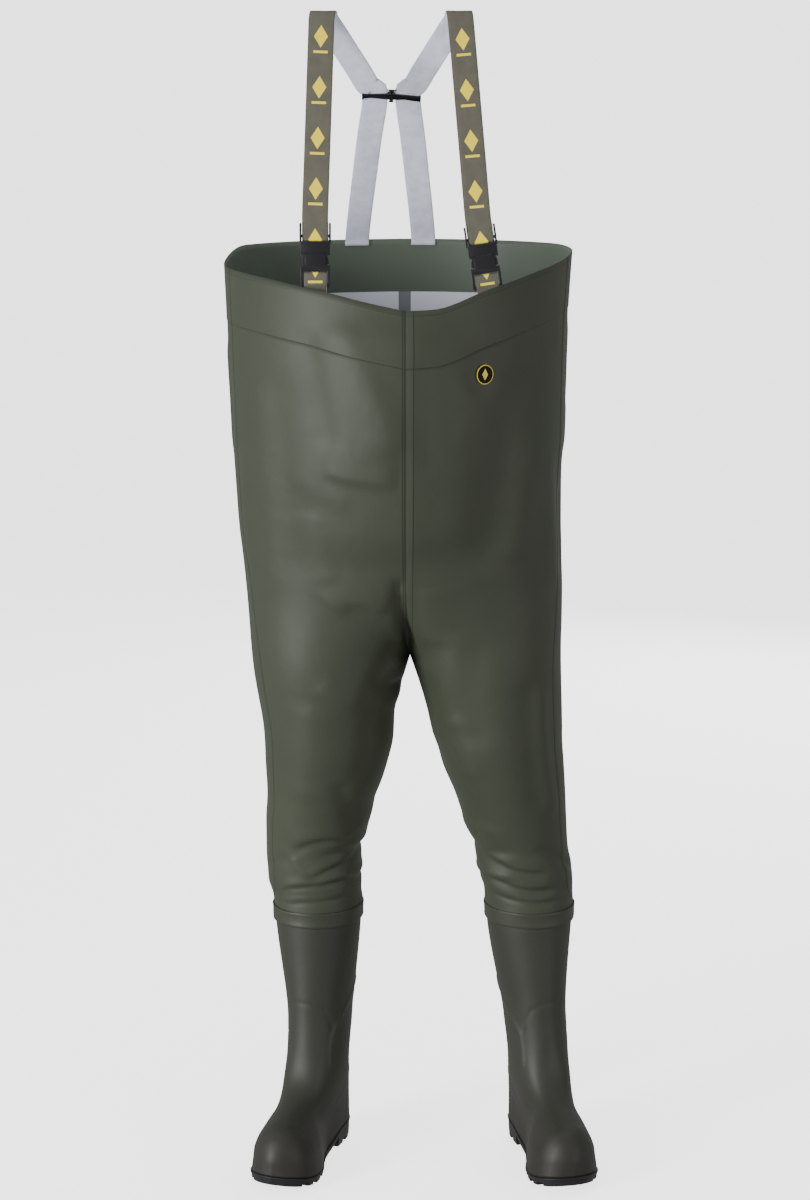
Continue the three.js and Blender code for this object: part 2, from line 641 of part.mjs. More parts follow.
// Bib and legs as one hollow wall, open at the rim and at both cuffs, with the doubled hem as a step
function waderBody() {
  const base = new Skin();
  const lift = [];
  const add = (point, step) => {
    lift.push(step);
    return base.points.push(point) - 1;
  };
  const rows = [
    { heightAt: (rim) => rim, step: HEM_STEP },
    { heightAt: (rim) => rim - HEM_DEPTH, step: HEM_STEP },
    { heightAt: (rim) => rim - HEM_DEPTH - 1, step: 0 },
    ...TORSO_LEVELS.map((down) => ({ heightAt: (rim) => rim + (CROTCH_HEIGHT - rim) * down, step: 0 })),
  ];
  const torso = { right: [], left: [] };
  rows.forEach((row, r) => {
    const shared = {};
    for (const side of Object.keys(STANCE)) {
      const list = [];
      for (let c = 0; c <= BODY_COLUMNS; c += 1) {
        const middle = c === 0 || c === BODY_COLUMNS;
        const key = r === rows.length - 1 ? 'crotch' : c;
        const known = middle ? shared[key] : undefined;
        const index = known ?? add(torsoPoint(side, (2 * c) / BODY_COLUMNS, row.heightAt), row.step);
        if (middle) shared[key] = index;
        list.push(index);
      }
      torso[side].push(list);
    }
  });
  const cuffs = [];
  for (const [side, stance] of Object.entries(STANCE)) {
    const flip = stance.side < 0;
    for (let r = 0; r + 1 < rows.length; r += 1) base.strip(torso[side][r], torso[side][r + 1], false, flip);
    const loopOf = (pointAt) => {
      const list = [];
      for (let c = 0; c < BODY_COLUMNS; c += 1) list.push(add(pointAt((2 * c) / BODY_COLUMNS), 0));
      return list;
    };
    const leg = [
      torso[side][rows.length - 1].slice(0, BODY_COLUMNS),
      ...LEG_LEVELS.map((down) => loopOf((turn) => legPoint(side, turn, down))),
      loopOf((turn) => cuffPoint(side, turn, cuffTop, FABRIC)),
      loopOf((turn) => cuffPoint(side, turn, cuffEnd, FABRIC)),
    ];
    for (let r = 0; r + 1 < leg.length; r += 1) base.strip(leg[r], leg[r + 1], true, flip);
    cuffs.push(flip ? [...leg[leg.length - 1]].reverse() : leg[leg.length - 1]);
  }
  const rim = [...torso.left[0], ...torso.right[0].slice(1, -1).reverse()];
  return hollow(base, lift, FABRIC, rim, cuffs);
}

// Gives an open skin its wall: the outside is lifted where a hem doubles it, the inside lies a wall behind it
function hollow(base, lift, wall, top, bottoms) {
  const normals = base.points.map(() => new THREE.Vector3());
  const face = new THREE.Triangle();
  const normal = new THREE.Vector3();
  for (const corners of base.triangles) {
    face.set(...corners.map((i) => base.points[i]));
    face.getNormal(normal).multiplyScalar(face.getArea());
    for (const i of corners) normals[i].add(normal);
  }
  for (const i of [top, ...bottoms].flat()) normals[i].z = 0;
  normals.forEach((n) => n.normalize());
  const count = base.points.length;
  const skin = new Skin();
  skin.points = [
    ...base.points.map((p, i) => p.clone().addScaledVector(normals[i], lift[i])),
    ...base.points.map((p, i) => p.clone().addScaledVector(normals[i], -wall)),
  ];
  skin.triangles = [
    ...base.triangles,
    ...base.triangles.map(([a, b, c]) => [c + count, b + count, a + count]),
  ];
  const inside = (loop) => loop.map((i) => i + count);
  skin.strip(inside(top), top, true);
  for (const bottom of bottoms) skin.strip(bottom, inside(bottom), true);
  return skin.geometry();
}

// Welded tape round the joint of leg and shaft
function shaftBand(side) {
  const skin = new Skin();
  const loopAt = (z, outwards) => {
    const list = [];
    for (let c = 0; c < BODY_COLUMNS; c += 1) {
      list.push(cuffPoint(side, (2 * c) / BODY_COLUMNS, z, FABRIC + FIT + outwards));
    }
    return skin.row(list);
  };
  const outer = [loopAt(cuffTop, BAND_THICKNESS), loopAt(cuffEnd, BAND_THICKNESS)];
  const inner = [loopAt(cuffTop, 0), loopAt(cuffEnd, 0)];
  skin.strip(outer[0], outer[1], true);
  skin.strip(inner[0], inner[1], true, true);
  skin.strip(inner[0], outer[0], true);
  skin.strip(outer[1], inner[1], true);
  return STANCE[side].side > 0 ? skin.geometry() : turnedOver(skin.geometry());
}

// A flat strap along a route; its width lies across the route, as near as it can to the level that each stop
// names, or else to the X axis
function ribbon(route, width, thickness) {
  const skin = new Skin();
  const sections = route.map((stop, i) => {
    const before = route[Math.max(0, i - 1)].point;
    const after = route[Math.min(route.length - 1, i + 1)].point;
    const along = after.clone().sub(before).normalize();
    const across = stop.level ? stop.level.clone() : new THREE.Vector3(1, 0, 0);
    across.addScaledVector(along, -across.dot(along)).normalize();
    const thick = new THREE.Vector3().crossVectors(along, across).multiplyScalar(thickness / 2);
    const half = across.clone().multiplyScalar(width / 2);
    const corner = (a, b) => stop.point.clone().addScaledVector(half, a).addScaledVector(thick, b);
    return skin.row([corner(-1, -1), corner(1, -1), corner(1, 1), corner(-1, 1)]);
  });
  for (let i = 0; i + 1 < sections.length; i += 1) skin.strip(sections[i + 1], sections[i], true);
  skin.quad(...sections[sections.length - 1]);
  skin.quad(...[...sections[0]].reverse());
  return skin.geometry();
}

// Nearest hit of a ray on a mesh
function hitOn(mesh, origin, direction) {
  mesh.updateMatrixWorld(true);
  mesh.material.side = THREE.DoubleSide;
  const ray = new THREE.Raycaster(origin, direction.clone().normalize());
  return ray.intersectObject(mesh)[0];
}

// Extrudes an outline in the XZ plane between two depths
function plate(shape, front, back) {
  const solid = new THREE.ExtrudeGeometry(shape, { depth: back - front, bevelEnabled: false });
  solid.rotateX(Math.PI / 2);
  solid.translate(0, back, 0);
  return solid;
}

function outline(points) {
  return new THREE.Shape(points.map(([x, z]) => new THREE.Vector2(x, z)));
}

// Heights of the buckle's parts above the bottom of its loop
const socketBase = BUCKLE_LOOP;
const socketTop = BUCKLE_LOOP + SOCKET_HEIGHT;
const plugTop = socketTop + FIT + PLUG_HEIGHT;
const buckleHalf = BUCKLE_WIDTH / 2;
const armInner = WEBBING_WIDTH / 2 + 0.8;

// Half the gap in the tab's loop, which holds the bar of the socket
const TAB_GAP = 2.2 + FIT + TAB_WEBBING / 2;

// Upper half of the buckle: body, two arms beside the webbing, a bar that it runs round, and two prongs
function bucklePlug() {
  const half = BUCKLE_THICKNESS / 2;
  const bodyLow = socketTop + FIT;
  const body = blockBetween([-buckleHalf + 1.5, -half, bodyLow], [buckleHalf - 1.5, half, plugTop]);
  const parts = [body];
  const barLow = plugTop + 6;
  parts.push(blockBetween([-buckleHalf + 1, FIT, barLow], [buckleHalf - 1, FIT + 3, barLow + BUCKLE_BAR]));
  for (const side of [-1, 1]) {
    const near = side * armInner;
    const far = side * buckleHalf;
    const arm = blockBetween(
      [Math.min(near, far), -half + 0.5, plugTop - 3],
      [Math.max(near, far), half - 0.5, plugTop + PLUG_ARMS],
    );
    const prong = plate(
      outline(PRONG.map(({ out, up }) => [side * out * buckleHalf, socketBase + up * SOCKET_HEIGHT])),
      -1.8,
      1.8,
    );
    parts.push(arm, prong);
  }
  return joined(parts);
}

// Lower half of the buckle: a sleeve for the prongs with windows at its sides, and the loop for the tab
function buckleSocket() {
  const half = BUCKLE_THICKNESS / 2;
  const edge = buckleHalf - 1.5;
  const frame = plate(
    outline([
      [-edge, 2],
      [-edge + 2, 0],
      [edge - 2, 0],
      [edge, 2],
      [edge, socketTop],
      [-edge, socketTop],
    ]),
    -half,
    half,
  );
  const windowLow = socketBase + 8;
  return cutAway(frame, [
    blockBetween([-TAB_WIDTH / 2 - 1.5, -half - 1, BUCKLE_BAR], [TAB_WIDTH / 2 + 1.5, half + 1, socketBase]),
    blockBetween([-edge - 1, -half - 1, -1], [edge + 1, -2.2, BUCKLE_BAR + 1]),
    blockBetween([-edge - 1, 2.2, -1], [edge + 1, half + 1, BUCKLE_BAR + 1]),
    blockBetween([-edge + 2.2, -2.3, windowLow], [edge - 2.2, 2.3, socketTop + 1]),
    blockBetween([-edge - 1, -half - 1, windowLow + 1], [-15.5, half + 1, socketTop - 3]),
    blockBetween([15.5, -half - 1, windowLow + 1], [edge + 1, half + 1, socketTop - 3]),
  ]);
}

// Front bar of the back slide, with its small T on top and foot below
function slideBar(withKnob) {
  const length = SLIDE_HALF_LENGTH;
  const height = SLIDE_HALF_HEIGHT;
  const depth = SLIDE_THICKNESS;
  const front = -WEBBING / 2 - FIT - depth;
  const lens = plate(
    outline([
      [-length, -2],
      [0, -height],
      [length, -2],
      [length, 2],
      [0, height],
      [-length, 2],
    ]),
    front,
    front + depth,
  );
  const parts = [lens];
  for (const end of [-1, 1]) {
    const near = end * (length - 3);
    const far = end * length;
    parts.push(blockBetween([Math.min(near, far), front, -7], [Math.max(near, far), front + depth, 3]));
  }
  if (withKnob) {
    parts.push(plate(outline([[-1.5, 4], [1.5, 4], [1.5, 10], [7, 13], [-7, 13], [-1.5, 10]]), front, front + depth));
    parts.push(plate(outline([[-1.5, -4], [-4, -10], [4, -10], [1.5, -4]]), front, front + depth));
  }
  const hole = new THREE.CylinderGeometry(PIN_RADIUS + FIT, PIN_RADIUS + FIT, 3 * depth, 12);
  hole.translate(0, front + depth / 2, 0);
  return cutAway(joined(parts), [hole]);
}

// Rivet of the slide: a shank through both bars and a head on each side
function slidePin() {
  const face = WEBBING / 2 + FIT + SLIDE_THICKNESS + FIT;
  const profile = [
    [0, -face - 1.2],
    [PIN_RADIUS + 1.4, -face - 1.2],
    [PIN_RADIUS + 1.4, -face],
    [PIN_RADIUS, -face],
    [PIN_RADIUS, face],
    [PIN_RADIUS + 1.4, face],
    [PIN_RADIUS + 1.4, face + 1.2],
    [0, face + 1.2],
  ].map(([radius, y]) => new THREE.Vector2(radius, y));
  return mergeVertices(bareOf(new THREE.LatheGeometry(profile, 12)), 1e-3);
}

function bareOf(geometry) {
  const bare = new THREE.BufferGeometry();
  bare.setAttribute('position', geometry.attributes.position.clone());
  bare.setIndex([...geometry.index.array]);
  return bare;
}

// Places a buckle so that its tab lies just inside the front wall of the bib
function buckleFrame(side, body) {
  const { tilt } = BRACES[side];
  const buckleX = BRACES[side].buckle * CHEST_HALF_WIDTH;
  const frame = new THREE.Group();
  frame.rotation.set(radians(-BUCKLE_LEAN), radians(tilt), 0, 'YXZ');
  const rimAt = (x) => rimHeight(side, (2 / Math.PI) * Math.asin(Math.abs(x) / CHEST_HALF_WIDTH));
  const rise = Math.tan(radians(-tilt));
  const heights = [-buckleHalf, 0, buckleHalf].map((dx) => rimAt(buckleX + dx) - rise * dx);
  frame.position.set(buckleX, 0, Math.max(...heights) - BUCKLE_SINK);
  frame.updateMatrixWorld(true);
  const tabFront = new THREE.Vector3(0, -TAB_GAP - TAB_WEBBING / 2, 0);
  let clearance = Infinity;
  for (const across of [-1, -0.5, 0, 0.5, 1]) {
    for (const drop of [0.1, 0.3, 0.5, 0.75, 1]) {
      const local = tabFront.clone().add(new THREE.Vector3((across * TAB_WIDTH) / 2, 0, -drop * TAB_DROP));
      const origin = frame.localToWorld(local);
      const hit = hitOn(body, origin, new THREE.Vector3(0, -1, 0));
      if (hit) clearance = Math.min(clearance, hit.distance);
    }
  }
  frame.position.y -= clearance - FIT;
  frame.updateMatrixWorld(true);
  return frame;
}

// The tab goes up in front of the bar, over it and down behind
function strapTab(frame) {
  const route = [];
  const level = new THREE.Vector3().setFromMatrixColumn(frame.matrixWorld, 0);
  const add = (y, z) => route.push({ point: frame.localToWorld(new THREE.Vector3(0, y, z)), level });
  const top = BUCKLE_LOOP - TAB_GAP - TAB_WEBBING;
  add(-TAB_GAP, -TAB_DROP);
  add(-TAB_GAP, 0);
  for (let i = 0; i <= 6; i += 1) {
    const angle = (Math.PI * i) / 6;
    add(-TAB_GAP * Math.cos(angle), top + TAB_GAP * Math.sin(angle));
  }
  add(TAB_GAP, 0);
  add(TAB_GAP, -TAB_DROP);
  return ribbon(route, TAB_WIDTH, TAB_WEBBING);
}

// The brace: round the plug's bar, up to the shoulder, over it, down through the slide and inside the back rim
function brace(side, frame, body) {
  const places = BRACES[side];
  const slideX = places.slide * CHEST_HALF_WIDTH;
  const rimX = places.rim * CHEST_HALF_WIDTH;
  const shoulder = { x: places.shoulder * CHEST_HALF_WIDTH, y: -SHOULDER_FORWARD, z: SHOULDER_HEIGHT };
  const route = [];
  const tilted = new THREE.Vector3().setFromMatrixColumn(frame.matrixWorld, 0);
  const local = (y, z) => route.push({ point: frame.localToWorld(new THREE.Vector3(0, y, z)), level: tilted });
  const world = (x, y, z, level) => route.push({ point: new THREE.Vector3(x, y, z), level });
  const turnRadius = 2.9;
  const turnHeight = plugTop + turnRadius + WEBBING / 2 + FIT;
  const backFace = turnRadius * 2 - 1;
  local(backFace, plugTop + PLUG_ARMS - 2);
  for (let i = 0; i <= 4; i += 1) {
    const angle = (Math.PI * i) / 4;
    local(turnRadius - 1 + turnRadius * Math.cos(angle), turnHeight - turnRadius * Math.sin(angle));
  }
  local(-1, plugTop + PLUG_ARMS);
  const foot = frame.localToWorld(new THREE.Vector3(0, -1, plugTop + PLUG_ARMS + 12));
  world(foot.x, foot.y, foot.z, tilted);
  const { lerp } = THREE.MathUtils;
  const front = { x: shoulder.x, y: shoulder.y - SHOULDER_RADIUS, z: shoulder.z };
  for (const share of [0.25, 0.5, 0.75, 0.93]) {
    world(lerp(foot.x, front.x, share), lerp(foot.y, front.y, share), lerp(foot.z, front.z, share));
  }
  const drift = (slideX - shoulder.x) * 0.06;
  for (let i = 0; i <= 6; i += 1) {
    const angle = (Math.PI * i) / 6 - 0.12;
    const x = shoulder.x + (drift * i) / 6;
    world(x, shoulder.y - SHOULDER_RADIUS * Math.cos(angle), shoulder.z + SHOULDER_RADIUS * Math.sin(angle));
  }
  const slide = { x: slideX, y: slideDepth, z: slideHeight };
  const start = route[route.length - 1].point;
  for (const share of [0.15, 0.4, 0.7, 0.88]) {
    world(lerp(start.x, slide.x, share), lerp(start.y, slide.y, share), lerp(start.z, slide.z, share));
  }
  for (const step of [12, 0, -12]) {
    world(slide.x, slide.y - step * Math.sin(slideLean), slide.z + step * Math.cos(slideLean));
  }
  const turn = 2 - (2 / Math.PI) * Math.asin(Math.abs(rimX) / CHEST_HALF_WIDTH);
  const rim = rimHeight(side, turn);
  const { seat, slope } = tailSeat(rimX, rim, body);
  const flat = new THREE.Vector3(1, slope, 0).normalize();
  for (const share of [0.3, 0.6, 0.85]) {
    const level = new THREE.Vector3(1, slope * share, 0).normalize();
    world(lerp(slide.x, rimX, share), lerp(slide.y, seat, share), lerp(slide.z, rim + 8, share), level);
  }
  world(rimX, seat, rim - 2, flat);
  world(rimX, seat, rim - TAIL_DROP, flat);
  return ribbon(route, WEBBING_WIDTH, WEBBING);
}

// Depth and slope of the brace's tail, flat against the inside of the back wall
function tailSeat(x, rim, body) {
  const half = WEBBING_WIDTH / 2;
  const backwards = new THREE.Vector3(0, 1, 0);
  const wallAt = (dx, z) => hitOn(body, new THREE.Vector3(x + dx, 0, z), backwards).point.y;
  const heights = [rim - 3, rim - TAIL_DROP / 2, rim - TAIL_DROP];
  const middle = heights[1];
  const slope = (wallAt(half, middle) - wallAt(-half, middle)) / WEBBING_WIDTH;
  let seat = Infinity;
  for (const z of heights) {
    for (const dx of [-half, -half / 2, 0, half / 2, half]) {
      seat = Math.min(seat, wallAt(dx, z) - slope * dx);
    }
  }
  return { seat: seat - (FIT + WEBBING / 2) * Math.hypot(1, slope), slope };
}

// Round badge on the left of the chest, flat against the fabric
function chestBadge(body) {
  const origin = new THREE.Vector3(BADGE_OUT, -2 * CHEST_HALF_DEPTH, BADGE_HEIGHT);
  const hit = hitOn(body, origin, new THREE.Vector3(0, 1, 0));
  const disc = new THREE.CylinderGeometry(BADGE_RADIUS, BADGE_RADIUS, BADGE_THICKNESS, 24);
  const mesh = meshOf('chest_badge', disc, BADGE_BLACK);
  const normal = hit.face.normal;
  mesh.quaternion.setFromUnitVectors(new THREE.Vector3(0, 1, 0), normal);
  mesh.position.copy(hit.point).addScaledVector(normal, FIT + BADGE_THICKNESS / 2);
  return mesh;
}

const model = new THREE.Group();
for (const [side, stance] of Object.entries(STANCE)) {
  model.add(meshOf(`boot_upper_${side}`, bootUpper(stance), BOOT_GREEN));
  model.add(meshOf(`boot_sole_${side}`, bootSole(stance), SOLE_DARK));
  model.add(meshOf(`insole_${side}`, bootInsole(stance), INSOLE_GREY));
  model.add(meshOf(`shaft_band_${side}`, shaftBand(side), FABRIC_GREEN));
}

const body = meshOf('wader_body', waderBody(), FABRIC_GREEN);
model.add(body);
model.add(chestBadge(body));

for (const side of Object.keys(STANCE)) {
  const frame = buckleFrame(side, body);
  frame.add(meshOf(`buckle_plug_${side}`, bucklePlug(), BUCKLE_BLACK));
  frame.add(meshOf(`buckle_socket_${side}`, buckleSocket(), BUCKLE_BLACK));
  model.add(frame);
  model.add(meshOf(`strap_tab_${side}`, strapTab(frame), WEBBING_OLIVE));
  model.add(meshOf(`strap_${side}`, brace(side, frame, body), WEBBING_OLIVE));
}

const slide = new THREE.Group();
slide.position.set(SLIDE_OUT, slideDepth, slideHeight);
slide.rotation.x = slideLean;
const frontBar = meshOf('back_slide_front', slideBar(true), BUCKLE_BLACK);
frontBar.rotation.y = radians(SLIDE_CROSS);
const backBar = meshOf('back_slide_back', slideBar(false), BUCKLE_BLACK);
backBar.rotation.set(0, radians(SLIDE_CROSS), Math.PI);
slide.add(frontBar, backBar, meshOf('slide_pin', slidePin(), BUCKLE_BLACK));
model.add(slide);

// The origin is the middle of the outer box at floor level
const box = new THREE.Box3().setFromObject(model);
const middle = box.getCenter(new THREE.Vector3());
model.position.set(-middle.x, -middle.y, -box.min.z);
model.updateMatrixWorld(true);

export default model;
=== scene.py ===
import math

import bmesh
import bpy
import numpy as np
from mathutils import Matrix, Vector

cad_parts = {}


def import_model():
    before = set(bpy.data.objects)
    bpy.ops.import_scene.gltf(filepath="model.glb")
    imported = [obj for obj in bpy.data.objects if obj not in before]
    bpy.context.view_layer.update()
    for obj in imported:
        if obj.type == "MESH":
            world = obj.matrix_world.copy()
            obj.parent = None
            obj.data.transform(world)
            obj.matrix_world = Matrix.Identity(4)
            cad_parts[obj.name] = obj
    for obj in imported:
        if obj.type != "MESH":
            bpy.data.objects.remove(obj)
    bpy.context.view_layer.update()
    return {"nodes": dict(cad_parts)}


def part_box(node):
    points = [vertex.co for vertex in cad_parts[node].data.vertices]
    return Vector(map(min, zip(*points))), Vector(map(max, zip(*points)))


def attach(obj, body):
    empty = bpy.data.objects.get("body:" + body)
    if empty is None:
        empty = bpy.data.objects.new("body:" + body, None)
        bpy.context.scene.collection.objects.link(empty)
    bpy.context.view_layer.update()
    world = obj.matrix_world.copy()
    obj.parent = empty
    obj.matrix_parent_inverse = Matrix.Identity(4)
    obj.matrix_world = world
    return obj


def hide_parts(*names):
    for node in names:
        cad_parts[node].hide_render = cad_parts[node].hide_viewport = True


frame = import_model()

# Sizes of the garment, in millimetres, about the crotch line
FIT = 0.3
FOOT_LENGTH = 300
BALL_WIDTH = 113
BOOT_HEIGHT = 412
SHAFT_WIDTH = 141
SHAFT_DEPTH = 154
BOOT_WALL = 2.6
TOE_SWING = 7
TOE_SPRING = 15
HEEL_HEIGHT = 33
SOLE_LEDGE = 2
SOLE_BAND = 3.4
SOLE_STEP = 1.4
LUG_DEPTH = 6
LUG_CHANNEL = 9
HEEL_END = 0.275
ARCH_END = 0.47

CHEST_HALF_WIDTH = 272
CHEST_HALF_DEPTH = 205
BACK_RIM_HEIGHT = 1490
CROTCH_HEIGHT = 835
CROTCH_SHIFT = 8
FABRIC = 1.0
HEM_DEPTH = 85
HEM_STEP = 0.8
CUFF_LAP = 22
BAND_THICKNESS = 1.2

WEBBING_WIDTH = 40
WEBBING = 2
TAB_WIDTH = 34
TAB_WEBBING = 1.5
TAB_DROP = 38
TAIL_DROP = 10
BUCKLE_LOOP = 24
SOCKET_HEIGHT = 27
PLUG_HEIGHT = 17
PLUG_ARMS = 28
BUCKLE_BAR = 5
BUCKLE_LEAN = 5
SLIDE_OUT = -21
SLIDE_RISE = 0.667
SHOULDER_FORWARD = 62
SHOULDER_HEIGHT = 1838
SHOULDER_RADIUS = 11
BADGE_RADIUS = 15
BADGE_THICKNESS = 1.5
PRINT_PITCH = 77

# Where each boot stands
STANCE = {
    "right": {"side": -1, "heel_x": -118, "heel_y": 90, "toe_out": 20, "lean": -8},
    "left": {"side": 1, "heel_x": 202, "heel_y": 96, "toe_out": 14.4, "lean": 10.5},
}


def table(names, *rows):
    """The rows of a table, each with its columns by name."""
    return [dict(zip(names.split(), row)) for row in rows]


# Plan of the foot: half widths as shares of half the ball width, along the foot
PLAN = table(
    "along outer inner",
    (0.0, 0.0, 0.0), (0.01, 0.25, 0.25), (0.04, 0.48, 0.48), (0.09, 0.61, 0.62), (0.16, 0.68, 0.68),
    (0.28, 0.7, 0.68), (0.42, 0.74, 0.65), (0.55, 0.86, 0.78), (0.68, 0.99, 0.97), (0.78, 1.0, 1.0),
    (0.87, 0.87, 0.92), (0.94, 0.63, 0.72), (0.985, 0.32, 0.38), (1.0, 0.0, 0.0),
)

# Ridge line of the foot, height as a share of the boot height
RIDGE = table(
    "along height",
    (0.4, 1.0), (0.45, 0.6), (0.475, 0.448), (0.495, 0.38), (0.525, 0.332), (0.57, 0.298), (0.65, 0.268),
    (0.76, 0.249), (0.86, 0.235), (0.93, 0.205), (0.975, 0.162), (0.994, 0.12), (1.0, 0.075),
)

# Shaft edges as shares of the shaft depth and width
SHAFT = table(
    "up rear front half",
    (1.0, -0.17, 0.83, 1.0),
    (0.93, -0.165, 0.83, 0.98),
    (0.85, -0.16, 0.83, 0.93),
    (0.75, -0.15, 0.835, 0.85),
    (0.65, -0.13, 0.845, 0.77),
    (0.57, -0.085, 0.865, 0.72),
    (0.5, -0.035, 0.895, 0.71),
    (0.435, 0.02, 0.93, 0.7),
    (0.375, 0.045, 0.945, 0.685),
    (0.31, 0.035, 0.96, 0.68),
    (0.24, 0.01, 0.97, 0.66),
    (0.0, 0.0, 1.0, 0.64),
)
SHAFT_BLEND = (0.27, 0.42)
ANKLE_BLEND = (0.08, 0.36)
RIDGE_CURVE = 2.6

# Edge between upper and sole, height as a share of the heel height
FEATHER = table(
    "along height",
    (0.0, 1.0), (0.15, 0.96), (0.27, 0.82), (0.37, 0.56), (0.47, 0.38), (0.57, 0.31), (0.67, 0.33),
    (0.78, 0.43), (0.88, 0.6), (0.96, 0.8), (1.0, 0.88),
)
LUG_GAPS = [(0.075, 0.115), (0.167, 0.207), (0.57, 0.623), (0.687, 0.73), (0.79, 0.833), (0.877, 0.92)]

# Rim of the bib, from the middle of the front round to the middle of the back
RIM = table(
    "turn right left",
    (0.0, 0.125, 0.125), (0.1, 0.111, 0.1225), (0.32, 0.08, 0.08), (0.6, 0.057, 0.041),
    (1.0, 0.041, 0.01), (1.3, 0.004, 0.0), (2.0, 0.0, 0.0),
)
SIDE_SEAM = 0.15
SEAM_TURN = 0.82

# Lines of the seams: the turn, below 0.5 on the left half alone, and the half width, also as a turn
SEAM_LINES = [
    (-0.008, 0.0035), (0.0, 0.0045), (0.031, 0.003),
    (SEAM_TURN, 0.0045), (SEAM_TURN + 0.036, 0.003), (2.0, 0.0045),
]
SPLIT_SWELL = 0.09

# Sections of the torso
TORSO = table(
    "down right left front back corner split",
    (0.0, 1.045, 0.965, 0.965, 1.0, 0.6, 0),
    (0.136, 1.033, 0.946, 0.985, 0.99, 0.58, 0),
    (0.24, 1.026, 0.938, 0.98, 0.98, 0.56, 0),
    (0.34, 1.015, 0.934, 0.965, 0.97, 0.54, 0),
    (0.44, 1.007, 0.93, 0.927, 0.957, 0.52, 0),
    (0.545, 0.993, 0.917, 0.868, 0.952, 0.5, 0),
    (0.65, 0.978, 0.919, 0.8, 0.95, 0.5, 0.02),
    (0.755, 0.952, 0.923, 0.741, 0.93, 0.5, 0.08),
    (0.858, 0.93, 0.93, 0.673, 0.9, 0.5, 0.24),
    (0.928, 0.918, 0.926, 0.635, 0.865, 0.5, 0.48),
    (0.976, 0.914, 0.924, 0.605, 0.84, 0.5, 0.78),
    (1.0, 0.913, 0.924, 0.59, 0.82, 0.5, 1),
)

# Sections of the legs
LEGS = table(
    "down right_in right_out left_in left_out front back",
    (0.0, -0.03, 0.913, 0.03, 0.924, 0.59, 0.82),
    (0.106, 0.018, 0.893, 0.085, 0.93, 0.52, 0.775),
    (0.213, 0.06, 0.855, 0.132, 0.938, 0.485, 0.75),
    (0.319, 0.068, 0.84, 0.168, 0.94, 0.45, 0.725),
    (0.426, 0.105, 0.835, 0.221, 0.952, 0.395, 0.695),
    (0.544, 0.16, 0.828, 0.298, 0.964, 0.33, 0.67),
    (0.662, 0.212, 0.838, 0.358, 0.974, 0.255, 0.65),
    (0.768, 0.262, 0.838, 0.418, 0.985, 0.2, 0.63),
    (0.851, 0.262, 0.832, 0.44, 1.01, 0.185, 0.6),
    (0.922, 0.262, 0.824, 0.472, 1.017, 0.165, 0.585),
)

